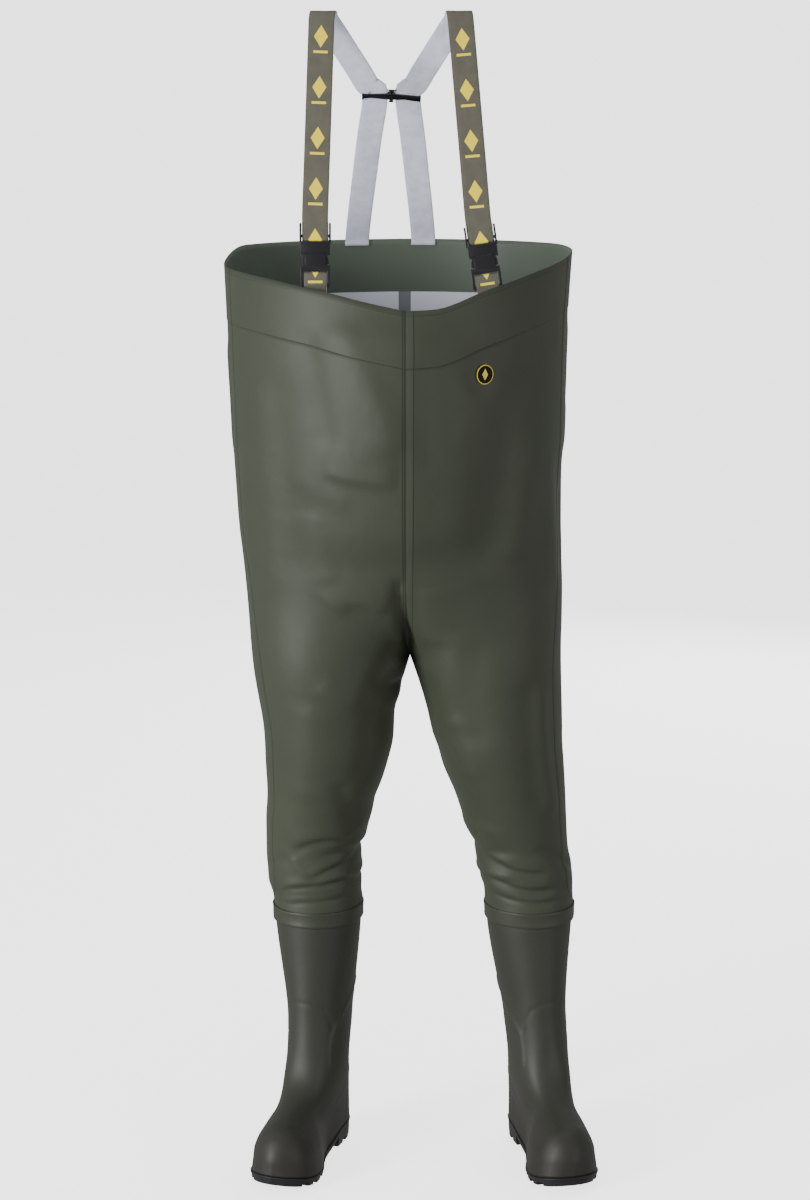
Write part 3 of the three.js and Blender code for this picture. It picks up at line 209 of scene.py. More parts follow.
# Folds of the fabric, drawn on a face of the garment. Each has a line of places in millimetres (X and height
# in front and behind, Y and height on the sides), its rise at the line, which is below zero for a trough, and
# how far it fades out on the left and on the right, seen along the line from outside
FOLDS = {
    "front": [
        ([(4, 1420), (2, 1250), (0, 1100), (0, 1000)], 11, 72, 125),
        ([(-148, 1390), (-145, 1364), (-135, 1304), (-124, 1251), (-109, 1190)], -3.5, 16, 30),
        ([(-109, 1401), (-75, 1334), (-38, 1258), (-8, 1186)], 5, 26, 44),
        ([(-128, 1165), (-94, 1157), (-60, 1153), (-7, 1150)], 4.5, 48, 10),
        ([(-182, 1156), (-132, 1132), (-78, 1110)], 1.8, 30, 18),
        ([(-144, 1102), (-132, 1040), (-110, 976)], 2.4, 14, 34),
        ([(-190, 1330), (-184, 1200), (-172, 1060), (-160, 960)], -2.2, 26, 20),
        ([(-236, 1320), (-224, 1180), (-210, 1040), (-202, 930)], 3, 20, 26),
        ([(26, 1350), (30, 1260), (34, 1150)], -2.2, 14, 16),
        ([(96, 1330), (90, 1266), (78, 1140), (67, 1028)], 4, 32, 26),
        ([(200, 1340), (165, 1251), (142, 1115), (120, 982)], -4.5, 24, 30),
        ([(216, 1230), (182, 1100), (165, 1000)], 4, 26, 22),
        ([(-8, 998), (-11, 962), (-4, 919), (5, 880), (7, 850)], -9, 8, 8),
        ([(34, 980), (38, 930), (44, 870)], 3, 30, 16),
        ([(-112, 930), (-98, 948), (-84, 955), (-58, 953), (-26, 934)], 5, 36, 11),
        ([(-6, 884), (-24, 852), (-42, 820), (-46, 796)], -5, 12, 13),
        ([(-50, 778), (-58, 734), (-60, 684), (-72, 640)], -3.2, 13, 18),
        ([(-140, 812), (-104, 790), (-66, 782)], 3.2, 26, 12),
        ([(-104, 650), (-94, 604), (-74, 556)], -3.2, 12, 16),
        ([(-146, 790), (-150, 700), (-150, 600)], 3.2, 36, 34),
        ([(88, 905), (72, 850), (66, 790), (78, 720)], 3.2, 20, 22),
        ([(128, 905), (112, 840), (112, 770), (126, 700)], -2.4, 24, 24),
        ([(70, 760), (92, 730), (104, 690), (108, 640)], 2.4, 14, 18),
        ([(196, 830), (198, 730), (206, 630), (218, 570)], -3.2, 12, 22),
        ([(212, 820), (217, 730), (228, 640), (242, 570)], 4, 10, 9),
        ([(-184, 532), (-158, 546), (-134, 552), (-108, 551), (-82, 545)], 2.3, 18, 6),
        ([(-184, 519), (-158, 533), (-134, 539), (-108, 539), (-82, 534)], -2.3, 5, 9),
        ([(-184, 512), (-172, 494), (-156, 478)], 2, 8, 9),
        ([(-158, 480), (-132, 495), (-104, 505), (-76, 517)], 2.3, 12, 5),
        ([(-158, 470), (-132, 485), (-104, 495), (-76, 507)], -2.3, 4.5, 7),
        ([(-206, 452), (-188, 463), (-160, 469), (-124, 472), (-78, 480)], 2, 9, 4.5),
        ([(-206, 443), (-188, 454), (-160, 460), (-124, 463), (-78, 470)], -2, 4, 5),
        ([(-206, 430), (-172, 440), (-130, 445), (-90, 447)], 1.3, 5, 5),
        ([(-204, 422), (-170, 431), (-130, 435), (-90, 438)], -1.3, 3.5, 3.5),
        ([(108, 526), (140, 513), (180, 497), (228, 490)], 2.3, 18, 5),
        ([(108, 515), (140, 502), (180, 487), (232, 480)], -2.3, 4.5, 8),
        ([(116, 486), (152, 474), (196, 463), (244, 462)], 2, 12, 4.5),
        ([(118, 477), (154, 465), (196, 454), (250, 453)], -2, 4, 6),
        ([(122, 455), (165, 446), (210, 440), (262, 442)], 1.7, 8, 4),
        ([(122, 446), (165, 437), (210, 431), (264, 433)], -1.7, 4, 4),
        ([(210, 530), (240, 512), (268, 484)], -2, 8, 8),
        ([(108, 590), (118, 552), (128, 520)], -2, 12, 10),
    ],
    "left": [
        ([(34, 1390), (33, 1300), (31, 1235), (34, 1150)], 2.2, 12, 9),
        ([(48, 1340), (46, 1290), (40, 1232)], -3, 12, 10),
        ([(118, 1350), (96, 1290), (64, 1232)], -3, 20, 16),
        ([(160, 1330), (146, 1250), (122, 1180), (100, 1110)], 3, 22, 22),
        ([(-70, 1190), (-52, 1110), (-38, 1020), (-36, 940)], 3, 16, 24),
        ([(-12, 1130), (-2, 1050), (6, 960)], -3, 18, 18),
        ([(70, 1050), (64, 950), (60, 850)], 4, 26, 26),
        ([(120, 560), (96, 524), (60, 482)], 2.3, 6, 16),
        ([(112, 550), (88, 514), (54, 472)], -2.3, 8, 5),
        ([(118, 512), (92, 476), (62, 446)], 2, 5, 12),
        ([(112, 502), (86, 467), (58, 438)], -2, 6, 5),
        ([(-40, 530), (-10, 500), (28, 476), (46, 466)], -2, 9, 9),
        ([(122, 460), (84, 436), (40, 424)], 1.7, 5, 8),
    ],
    "right": [
        ([(34, 1350), (30, 1260), (28, 1160)], 2.2, 12, 12),
        ([(6, 1330), (8, 1250), (16, 1170)], -2.2, 14, 12),
        ([(104, 1330), (84, 1240), (58, 1150)], -3, 18, 18),
        ([(140, 1300), (124, 1210), (102, 1110)], 3, 22, 22),
        ([(-66, 1190), (-52, 1090), (-40, 980)], 3, 20, 20),
        ([(116, 550), (86, 510), (50, 468)], 2.3, 16, 6),
        ([(108, 540), (80, 501), (46, 459)], -2.3, 5, 8),
        ([(116, 500), (86, 466), (52, 440)], 2, 12, 5),
        ([(112, 490), (82, 457), (50, 431)], -2, 5, 6),
        ([(-34, 510), (8, 486), (40, 470)], -2, 9, 9),
    ],
    "right_inside": [
        ([(-80, 838), (-20, 830), (60, 836)], 3, 18, 14),
        ([(-90, 802), (-40, 797), (10, 797), (70, 806)], -4, 9, 9),
        ([(-80, 774), (-20, 770), (60, 778)], 2.4, 12, 18),
        ([(-60, 600), (0, 592), (60, 600)], -2.4, 20, 16),
        ([(-60, 534), (0, 528), (70, 534)], 3, 12, 5),
        ([(-60, 519), (0, 513), (70, 519)], -2, 4.5, 8),
        ([(-50, 480), (10, 474), (70, 480)], 1.7, 9, 5),
        ([(-50, 469), (10, 463), (70, 469)], -1.7, 4.5, 6),
    ],
    "left_inside": [
        ([(-60, 690), (0, 676), (60, 690)], -2.4, 22, 20),
        ([(-60, 560), (0, 552), (70, 560)], 2, 22, 9),
        ([(-60, 523), (0, 515), (70, 523)], -2.6, 8, 10),
        ([(-50, 482), (10, 476), (70, 482)], 1.7, 9, 5),
        ([(-50, 470), (10, 464), (70, 470)], -1.7, 4.5, 6),
    ],
    "back": [
        ([(2, 985), (2, 930), (6, 880), (8, 856)], -7, 12, 12),
        ([(-44, 950), (-62, 900), (-104, 858)], 4, 20, 18),
        ([(54, 950), (72, 900), (116, 858)], 4, 18, 20),
        ([(-40, 880), (-84, 842), (-140, 824)], -4, 14, 18),
        ([(50, 880), (94, 842), (150, 824)], -4, 18, 14),
        ([(-60, 650), (-120, 636), (-190, 652)], 3.2, 12, 24),
        ([(-60, 626), (-120, 610), (-190, 628)], -3.2, 14, 10),
        ([(112, 650), (176, 636), (240, 652)], 3.2, 24, 12),
        ([(112, 626), (176, 610), (242, 628)], -3.2, 10, 14),
        ([(-80, 534), (-140, 514), (-206, 526)], 2.3, 6, 16),
        ([(-80, 521), (-140, 501), (-206, 513)], -2.3, 8, 6),
        ([(-78, 481), (-140, 467), (-208, 475)], 2, 5, 12),
        ([(-78, 469), (-140, 455), (-208, 463)], -2, 6, 5),
        ([(124, 534), (190, 514), (258, 529)], 2.3, 16, 6),
        ([(124, 521), (190, 501), (260, 516)], -2.3, 6, 8),
        ([(134, 481), (200, 465), (264, 475)], 2, 12, 5),
        ([(134, 469), (200, 453), (266, 463)], -2, 5, 6),
        ([(-90, 1340), (-104, 1200), (-96, 1040)], -3, 30, 30),
        ([(104, 1340), (116, 1200), (100, 1040)], -3, 30, 30),
        ([(-160, 1330), (-170, 1180), (-160, 1020)], 3, 30, 30),
        ([(176, 1330), (184, 1180), (170, 1020)], 3, 30, 30),
    ],
}

# Moulded lines of the boot: the face, a line in millimetres of the foot, height and half width
BOOT_LINES = [
    ("outer", [(-13, 252), (13, 222), (35, 204), (56, 198), (84, 197), (110, 202), (126, 214)], -0.9, 2.2),
    ("outer", [(126, 214), (124, 245), (118, 268)], -0.9, 2.2),
    ("outer", [(4, 182), (20, 156), (38, 145), (67, 138), (99, 138), (120, 142)], -0.9, 2.2),
    ("outer", [(5, 143), (35, 125), (56, 111), (74, 95), (105, 80)], 0.7, 2.4),
    ("outer", [(2, 129), (24, 114), (49, 95), (70, 76)], -0.6, 2.2),
    ("inner", [(14, 284), (50, 262), (84, 234), (106, 206), (114, 180), (120, 146)], 1.5, 3.4),
    ("inner", [(4, 182), (20, 156), (38, 145), (67, 138), (99, 138)], -0.6, 2.2),
    ("inner", [(5, 143), (35, 125), (56, 111), (74, 95), (105, 80)], 0.7, 2.4),
    ("front", [(44, 232), (35, 250), (15, 262), (-9, 261), (-27, 249), (-36, 226), (-38, 204)], -1.0, 2.4),
    ("top", [(245, -60), (245, 60)], -0.5, 2.0),
]
SHAFT_RIBS = (392, 386.5, 381, 375.5)


def smooth(low, high, value):
    t = np.clip((np.asarray(value, float) - low) / (high - low), 0, 1)
    return t * t * (3 - 2 * t)


def follow(rows, key, column, at):
    """Reads a column of a table between its rows on a smooth curve that never overshoots."""
    rows = sorted(rows, key=lambda row: row[key])
    x = np.array([row[key] for row in rows], float)
    y = np.array([row[column] for row in rows], float)
    at = np.clip(np.asarray(at, float), x[0], x[-1])
    i = np.clip(np.searchsorted(x, at, side="right") - 1, 0, len(x) - 2)
    rise = np.diff(y) / np.diff(x)
    slope = np.empty(len(x))
    slope[0] = rise[0]
    slope[-1] = rise[-1]
    before = rise[:-1]
    after = rise[1:]
    total = np.where(np.abs(before + after) < 1e-12, 1, before + after)
    slope[1:-1] = np.where(before * after <= 0, 0, 2 * before * after / total)
    width = x[i + 1] - x[i]
    t = (at - x[i]) / width
    stay = 1 - t
    return (
        y[i] * (1 + 2 * t) * stay**2
        + y[i + 1] * (3 - 2 * t) * t**2
        + slope[i] * width * t * stay**2
        - slope[i + 1] * width * t**2 * stay
    )


def stands_for(obj, source):
    """The object replaces a plain node, which is hidden, and moves with the garment."""
    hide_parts(source)
    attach(obj, "root")
    return obj


def box_centre(node):
    low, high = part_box(node)
    return (Vector(low) + Vector(high)) / 2


# The slide lies on the straight line from behind the shoulder to the back rim
back_depth = TORSO[0]["back"] * CHEST_HALF_DEPTH
brace_rise = SHOULDER_HEIGHT - BACK_RIM_HEIGHT
brace_run = back_depth + SHOULDER_FORWARD - SHOULDER_RADIUS
slide_height = BACK_RIM_HEIGHT + SLIDE_RISE * brace_rise
slide_depth = back_depth - SLIDE_RISE * brace_run
slide_lean = math.atan2(brace_run, brace_rise)

# The plain model was centred on its own box: the rivet of the slide tells by how much
shift = box_centre("slide_pin") * 1000 - Vector((SLIDE_OUT, slide_depth, slide_height))
SHIFT = np.array(shift)
BADGE_PLACE = np.array(box_centre("chest_badge") * 1000) - SHIFT


class Mesh:
    """Collects points in millimetres and faces with their material."""

    def __init__(self):
        self.points = []
        self.count = 0
        self.faces = []
        self.mats = []

    def add(self, points):
        points = np.asarray(points, float).reshape(-1, 3)
        first = self.count
        self.points.append(points)
        self.count += len(points)
        return np.arange(first, first + len(points))

    def strip(self, upper, lower, closed, flip=False, mat=0):
        upper = np.asarray(upper)
        lower = np.asarray(lower)
        if closed:
            upper = np.append(upper, upper[0])
            lower = np.append(lower, lower[0])
        quads = np.stack([upper[:-1], lower[:-1], lower[1:], upper[1:]], 1)
        if flip:
            quads = quads[:, ::-1]
        for quad in quads.tolist():
            self.faces.append(quad)
            self.mats.append(mat)

    def skin(self, rows, closed=True, flip=False, mat=0):
        for upper, lower in zip(rows[:-1], rows[1:]):
            self.strip(upper, lower, closed, flip, mat)

    def face(self, corners, mat=0):
        self.faces.append([int(c) for c in corners])
        self.mats.append(mat)

    def all_points(self):
        return np.concatenate(self.points)


def point_normals(points, faces):
    """Normals of the points, weighted by the area of the faces."""
    normals = np.zeros_like(points)
    quads = np.array([f if len(f) == 4 else [*f, f[0]] for f in faces])
    a, b, c, d = (points[quads[:, k]] for k in range(4))
    n = np.cross(c - a, d - b)
    for k in range(4):
        np.add.at(normals, quads[:, k], n)
    length = np.linalg.norm(normals, axis=1, keepdims=True)
    return normals / np.where(length < 1e-9, 1, length)


def linked(name, data):
    """An object in the scene with these data."""
    obj = bpy.data.objects.new(name, data)
    bpy.context.scene.collection.objects.link(obj)
    return obj


def object_from(name, points, faces, mats, materials, uv=None):
    """A mesh object in metres from points in millimetres of the garment."""
    mesh = bpy.data.meshes.new(name)
    world = (np.asarray(points) + SHIFT) / 1000
    clean = []
    kept = []
    for face, mat in zip(faces, mats):
        corners = []
        for c in face:
            if not corners or np.abs(world[c] - world[corners[-1]]).max() > 1e-7:
                corners.append(c)
        if len(corners) > 1 and np.abs(world[corners[0]] - world[corners[-1]]).max() <= 1e-7:
            corners.pop()
        if len(set(corners)) >= 3:
            clean.append(corners)
            kept.append(mat)
    mesh.from_pydata(world.tolist(), [], clean)
    mesh.update()
    for material in materials:
        mesh.materials.append(material)
    mesh.polygons.foreach_set("material_index", kept)
    mesh.polygons.foreach_set("use_smooth", [True] * len(kept))
    if uv is not None:
        layer = mesh.uv_layers.new(name="place")
        loops = np.empty(len(mesh.loops), int)
        mesh.loops.foreach_get("vertex_index", loops)
        layer.data.foreach_set("uv", np.asarray(uv, float)[loops].ravel())
    return linked(name, mesh)


# Materials


def material(name, color, roughness, **more):
    made = bpy.data.materials.new(name)
    made.use_nodes = True
    shader = made.node_tree.nodes["Principled BSDF"]
    shader.inputs["Base Color"].default_value = (*color, 1)
    shader.inputs["Roughness"].default_value = roughness
    for key, value in more.items():
        shader.inputs[key.replace("_", " ")].default_value = value
    return made


def node(tree, kind, **settings):
    made = tree.nodes.new(kind)
    for key, value in settings.items():
        setattr(made, key, value)
    return made


def calc(tree, operation, a, b=None, c=None):
    made = node(tree, "ShaderNodeMath", operation=operation)
    for socket, value in zip(made.inputs, (a, b, c)):
        if value is None:
            continue
        if isinstance(value, (int, float)):
            socket.default_value = value
        else:
            tree.links.new(value, socket)
    return made.outputs[0]


def noise(tree, scale, detail=3):
    made = node(tree, "ShaderNodeTexNoise")
    made.inputs["Scale"].default_value = scale
    made.inputs["Detail"].default_value = detail
    tree.links.new(node(tree, "ShaderNodeTexCoord").outputs["Object"], made.inputs["Vector"])
    return made.outputs["Fac"]


def ramp(tree, value, low, high):
    made = node(tree, "ShaderNodeMapRange", interpolation_type="SMOOTHSTEP")
    made.inputs["From Min"].default_value = low
    made.inputs["From Max"].default_value = high
    tree.links.new(value, made.inputs["Value"])
    return made.outputs["Result"]


def near(tree, value, at, low, high):
    """One at a value, fading to zero between two distances from it."""
    gap = calc(tree, "ABSOLUTE", calc(tree, "SUBTRACT", value, at))
    return calc(tree, "SUBTRACT", 1.0, ramp(tree, gap, low, high))


def up_to(tree, value, low, high):
    """One below a value, fading to zero at the next."""
    return calc(tree, "SUBTRACT", 1.0, ramp(tree, value, low, high))


def mixed(tree, share, first, second):
    made = node(tree, "ShaderNodeMix", data_type="RGBA")
    tree.links.new(share, made.inputs["Factor"])
    for socket, value in ((made.inputs[6], first), (made.inputs[7], second)):
        if isinstance(value, tuple):
            socket.default_value = (*value, 1)
        else:
            tree.links.new(value, socket)
    return made.outputs[2]


def bump(tree, height, strength, distance, normal=None):
    made = node(tree, "ShaderNodeBump")
    made.inputs["Strength"].default_value = strength
    made.inputs["Distance"].default_value = distance
    tree.links.new(height, made.inputs["Height"])
    if normal is not None:
        tree.links.new(normal, made.inputs["Normal"])
    return made.outputs["Normal"]


def shader_of(made):
    return made.node_tree.nodes["Principled BSDF"]


def split(tree, vector):
    """The three parts of a vector."""
    apart = node(tree, "ShaderNodeSeparateXYZ")
    tree.links.new(vector, apart.inputs[0])
    return apart.outputs


def surface_place(tree):
    """The place on the surface: across or round it, and along or down it."""
    return split(tree, node(tree, "ShaderNodeUVMap", uv_map="place").outputs["UV"])[:2]


def uneven_roughness(tree, shader, scale, low, high):
    """Roughness that changes slowly over the surface."""
    rough = node(tree, "ShaderNodeMapRange")
    tree.links.new(noise(tree, scale, 4), rough.inputs["Value"])
    rough.inputs["To Min"].default_value = low
    rough.inputs["To Max"].default_value = high
    tree.links.new(rough.outputs["Result"], shader.inputs["Roughness"])


def coated_fabric(name, color, dark, roughness):
    """Coated polyester: satin, with a faint weave, slow changes of tone, and seams along the pattern."""
    made = material(name, color, roughness, Specular_IOR_Level=0.32)
    tree = made.node_tree
    shader = shader_of(made)
    turn, drop = surface_place(tree)
    tone = mixed(tree, ramp(tree, noise(tree, 7, 4), 0.25, 0.8), dark, color)
    either_turn = calc(tree, "ABSOLUTE", turn)
    rim = calc(tree, "MULTIPLY", near(tree, drop, 8.0, 0.3, 1.3), 0.5)
    hem = calc(tree, "MULTIPLY", near(tree, drop, HEM_DEPTH + 0.6, 0.3, 1.5), 0.6)
    line = calc(tree, "MAXIMUM", rim, hem)
    for at, width in SEAM_LINES:
        here = near(tree, turn if at < 0.5 else either_turn, at, width * 0.4, width)
        line = calc(tree, "MAXIMUM", line, here)
    # Painted highlight: the seam tape beside the middle line is painted 1.1 times lighter, fading out between
    # 395 and 440 mm below the rim
    strip = calc(tree, "MULTIPLY", ramp(tree, turn, 0.004, 0.008), up_to(tree, turn, 0.026, 0.03))
    strip = calc(tree, "MULTIPLY", strip, up_to(tree, drop, 395, 440))
    tone = mixed(tree, strip, tone, tuple(1.1 * c for c in color))
    tone = mixed(tree, calc(tree, "MULTIPLY", line, 0.75), tone, tuple(0.35 * c for c in color))
    tree.links.new(tone, shader.inputs["Base Color"])
    normal = bump(tree, noise(tree, 900, 2), 0.12, 0.0004)
    normal = bump(tree, noise(tree, 24, 3), 0.25, 0.004, normal)
    tree.links.new(normal, shader.inputs["Normal"])
    uneven_roughness(tree, shader, 11, roughness - 0.07, roughness + 0.08)
    return made


def moulded(name, color, low_color, roughness, edge=0.09):
    """Moulded rubber: satin, browner and darker toward the sole."""
    made = material(name, color, roughness, Specular_IOR_Level=0.38)
    tree = made.node_tree
    shader = shader_of(made)
    height = split(tree, node(tree, "ShaderNodeTexCoord").outputs["Object"])[2]
    tone = mixed(tree, ramp(tree, height, 0.01, edge), low_color, color)
    worn = calc(tree, "MULTIPLY", ramp(tree, noise(tree, 9, 4), 0.35, 0.75), 0.25)
    tone = mixed(tree, worn, tone, low_color)
    tree.links.new(tone, shader.inputs["Base Color"])
    normal = bump(tree, noise(tree, 500, 2), 0.12, 0.0005)
    normal = bump(tree, noise(tree, 30, 3), 0.12, 0.003, normal)
    tree.links.new(normal, shader.inputs["Normal"])
    uneven_roughness(tree, shader, 14, roughness - 0.06, roughness + 0.1)
    return made


def webbing_material(name, color, printed):
    """Elastic webbing: fine ribs across, and on the outside a row of plain yellow lozenges."""
    made = material(name, color, 0.85)
    tree = made.node_tree
    shader = shader_of(made)
    across, along = surface_place(tree)
    ribs = calc(tree, "SINE", calc(tree, "MULTIPLY", along, 2 * math.pi / 1.3))
    cords = calc(tree, "SINE", calc(tree, "MULTIPLY", across, 2 * math.pi / 1.6))
    weave = calc(tree, "MULTIPLY", ribs, cords)
    tone = mixed(tree, ramp(tree, noise(tree, 60, 3), 0.3, 0.7), tuple(0.86 * c for c in color), color)
    off_middle = calc(tree, "ABSOLUTE", across)
    edge = ramp(tree, off_middle, 0.43 * WEBBING_WIDTH, 0.5 * WEBBING_WIDTH)
    tone = mixed(tree, calc(tree, "MULTIPLY", edge, 0.35), tone, tuple(0.5 * c for c in color))
    if printed:
        cell = calc(tree, "MODULO", calc(tree, "ADD", along, 40 * PRINT_PITCH), PRINT_PITCH)
        cell = calc(tree, "SUBTRACT", cell, PRINT_PITCH / 2)
        wide = calc(tree, "DIVIDE", off_middle, 10.5)
        high = calc(tree, "DIVIDE", calc(tree, "ABSOLUTE", calc(tree, "ADD", cell, -3.0)), 17.0)
        lozenge = up_to(tree, calc(tree, "ADD", wide, high), 0.96, 1.04)
        bar = calc(tree, "MULTIPLY", near(tree, cell, -20.5, 1.6, 2.2), up_to(tree, off_middle, 10.5, 11.2))
        tone = mixed(tree, calc(tree, "MAXIMUM", lozenge, bar), tone, (1.0, 0.79, 0.04))
    tree.links.new(tone, shader.inputs["Base Color"])
    tree.links.new(bump(tree, weave, 0.35, 0.0004), shader.inputs["Normal"])
    return made


GREEN = (0.046, 0.0525, 0.0345)
fabric_out = coated_fabric("fabric", GREEN, (0.041, 0.047, 0.031), 0.55)
facing = material("facing", (0.092, 0.118, 0.086), 0.6)
lining = material("lining", (0.78, 0.8, 0.88), 0.7)
# Painted shade: the pale lining deep inside the legs and the lower bib is a dark copy of it, as if in shadow
lining_in_painted_shade = material("lining in painted shade", (0.11, 0.115, 0.12), 0.8)
lining_seam = material("lining seam", (0.2, 0.21, 0.23), 0.7)
band_mat = moulded("band", (0.037, 0.041, 0.028), (0.037, 0.041, 0.028), 0.5)
boot_mat = moulded("boot", (0.034, 0.035, 0.0275), (0.02, 0.019, 0.0155), 0.54, edge=0.15)
boot_inside = material("boot inside", (0.05, 0.05, 0.045), 0.75)
sole_mat = moulded("sole", (0.014, 0.014, 0.017), (0.011, 0.011, 0.013), 0.5)
insole_mat = material("insole", (0.15, 0.15, 0.14), 0.95)
olive = webbing_material("webbing", (0.12, 0.113, 0.085), True)
pale = webbing_material("webbing inside", (0.80, 0.81, 0.95), False)
plastic = material("plastic", (0.008, 0.0075, 0.011), 0.34)
badge_black = material("badge", (0.004, 0.004, 0.004), 0.6, Specular_IOR_Level=0.15)
badge_yellow = material("badge yellow", (0.85, 0.6, 0.03), 0.5)


# The bib and the legs

torso_length = BACK_RIM_HEIGHT - CROTCH_HEIGHT


def rim_height(side, turn):
    return BACK_RIM_HEIGHT - torso_length * follow(RIM, "turn", side, turn)


def torso_points(side, turn, z, rim):
    """Points of the torso at turns and heights of the same length."""
    down = (rim - z) / (rim - CROTCH_HEIGHT)
    angle = turn * math.pi / 2
    split = follow(TORSO, "down", "split", down)
    swell = 1 + SPLIT_SWELL * 4 * split * (1 - split)
    width = follow(TORSO, "down", side, down) * CHEST_HALF_WIDTH
    front = follow(TORSO, "down", "front", down) * CHEST_HALF_DEPTH * swell
    back = follow(TORSO, "down", "back", down) * CHEST_HALF_DEPTH * swell
    seam = SIDE_SEAM * CHEST_HALF_DEPTH
    reach = np.abs(np.cos(angle)) ** (2 * follow(TORSO, "down", "corner", down))
    torso_x = width * np.sin(angle)
    torso_y = np.where(turn < 1, seam - (seam + front) * reach, seam + (back - seam) * reach)
    inner = STANCE[side]["side"] * CROTCH_SHIFT
    thigh_x = (inner + width) / 2 - (width - inner) / 2 * np.cos(2 * angle)
    thigh_y = (back - front) / 2 - (back + front) / 2 * np.sin(2 * angle)
    x = torso_x + (thigh_x - torso_x) * split
    y = torso_y + (thigh_y - torso_y) * split
    return np.stack([STANCE[side]["side"] * x, y, z], 1)


def leg_points(side, turn, down):
    inner = follow(LEGS, "down", side + "_in", down) * CHEST_HALF_WIDTH
    outer = follow(LEGS, "down", side + "_out", down) * CHEST_HALF_WIDTH
    front = follow(LEGS, "down", "front", down) * CHEST_HALF_DEPTH
    back = follow(LEGS, "down", "back", down) * CHEST_HALF_DEPTH
    angle = turn * math.pi
    x = (inner + outer) / 2 - (outer - inner) / 2 * np.cos(angle)
    y = (back - front) / 2 - (back + front) / 2 * np.sin(angle)
    z = CROTCH_HEIGHT - (CROTCH_HEIGHT - BOOT_HEIGHT) * down
    return np.stack([STANCE[side]["side"] * x, y, z + 0 * x], 1)


def place(s, t, z, stance):
    """From the foot frame to the garment."""
    turn = math.radians(stance["toe_out"])
    x = stance["heel_x"] + stance["side"] * (s * math.sin(turn) + t * math.cos(turn))
    y = stance["heel_y"] - s * math.cos(turn) + t * math.sin(turn)
    return np.stack([x, y, z + 0 * x], -1)


def cuff_points(side, turn, z, outwards):
    stance = STANCE[side]
    level = z / BOOT_HEIGHT
    rear = follow(SHAFT, "up", "rear", level) * SHAFT_DEPTH
    front = follow(SHAFT, "up", "front", level) * SHAFT_DEPTH
    half = follow(SHAFT, "up", "half", level) * SHAFT_WIDTH / 2
    angle = turn * math.pi
    lean = -stance["lean"] * smooth(0.35, 1.0, level)
    s = (rear + front) / 2 + ((front - rear) / 2 + 1.2 + outwards) * np.sin(angle)
    t = lean - (half + 1.1 + outwards) * np.cos(angle)
    return place(s, t, z, stance)


def line_distance(flat, line):
    """Distance to a line of several points, how far along it, and on which side."""
    best = np.full(len(flat), 1e9)
    along = np.zeros(len(flat))
    sign = np.ones(len(flat))
    line = np.asarray(line, float)
    lengths = np.linalg.norm(np.diff(line, axis=0), axis=1)
    total = lengths.sum()
    start = 0
    for a, b, length in zip(line[:-1], line[1:], lengths):
        way = (b - a) / length
        rel = flat - a
        t = np.clip(rel @ way, 0, length)
        gap = rel - t[:, None] * way
        distance = np.linalg.norm(gap, axis=1)
        nearer = distance < best
        best = np.where(nearer, distance, best)
        along = np.where(nearer, (start + t) / total, along)
        side = np.sign(way[0] * rel[:, 1] - way[1] * rel[:, 0])
        sign = np.where(nearer, side, sign)
        start += length
    return best, along, sign


# Each face: the axis drawn across, the axis it looks along, the direction, and the half it belongs to
FACES = {
    "front": (0, 1, -1, 0),
    "back": (0, 1, 1, 0),
    "left": (1, 0, 1, 1),
    "right": (1, 0, -1, -1),
    "right_inside": (1, 0, 1, -1),
    "left_inside": (1, 0, -1, 1),
}


def fold_heights(points, normals):
    """How far every point moves out for the folds."""
    height = np.zeros(len(points))
    for face, rows in FOLDS.items():
        across, through, direction, half = FACES[face]
        share = smooth(0.02, 0.45, normals[:, through] * direction)
        if half:
            share = share * smooth(0, 12, points[:, 0] * half)
        flat = np.stack([points[:, across], points[:, 2]], 1)
        mirrored = 1 if face in ("front", "left", "right_inside") else -1
        for line, rise, left, right in rows:
            distance, along, sign = line_distance(flat, line)
            width = np.where(sign * mirrored > 0, left, right)
            ends = smooth(0.0, 0.16, along) * smooth(0.0, 0.16, 1 - along)
            height += rise * np.exp(-((distance / width) ** 2)) * ends * share
    # The fabric is flat where the badge sits
    from_badge = np.linalg.norm(points - BADGE_PLACE, axis=1)
    return height * smooth(14, 48, from_badge)


def spaced(count, seams):
    """Turns from 0 to 2, finer at the seams."""
    base = np.linspace(0, 2, count + 1)
    extra = []
    for at in seams:
        for step in (0.003, 0.006, 0.012, 0.018):
            extra += [at - step, at + step]
    turns = np.unique(np.round(np.concatenate([base, [e for e in extra if 0 < e < 2]]), 5))
    keep = [turns[0]]
    for value in turns[1:]:
        if value - keep[-1] > 0.0025:
            keep.append(value)
    keep[-1] = 2.0
    return np.array(keep)


def seam_height(side, turn, weight):
    """Welded seams: a tape a little proud beside the line of the seam."""
    height = np.zeros_like(turn)
    if side == "left":
        height += 0.2 * smooth(0.003, 0.009, turn) * (1 - smooth(0.026, 0.034, turn)) * weight
    height += 0.6 * smooth(0.003, 0.006, turn - SEAM_TURN) * (1 - smooth(0.034, 0.04, turn - SEAM_TURN))
    height += 0.7 * smooth(1.96, 1.966, turn) * (1 - smooth(1.994, 1.997, turn)) * weight
    return height


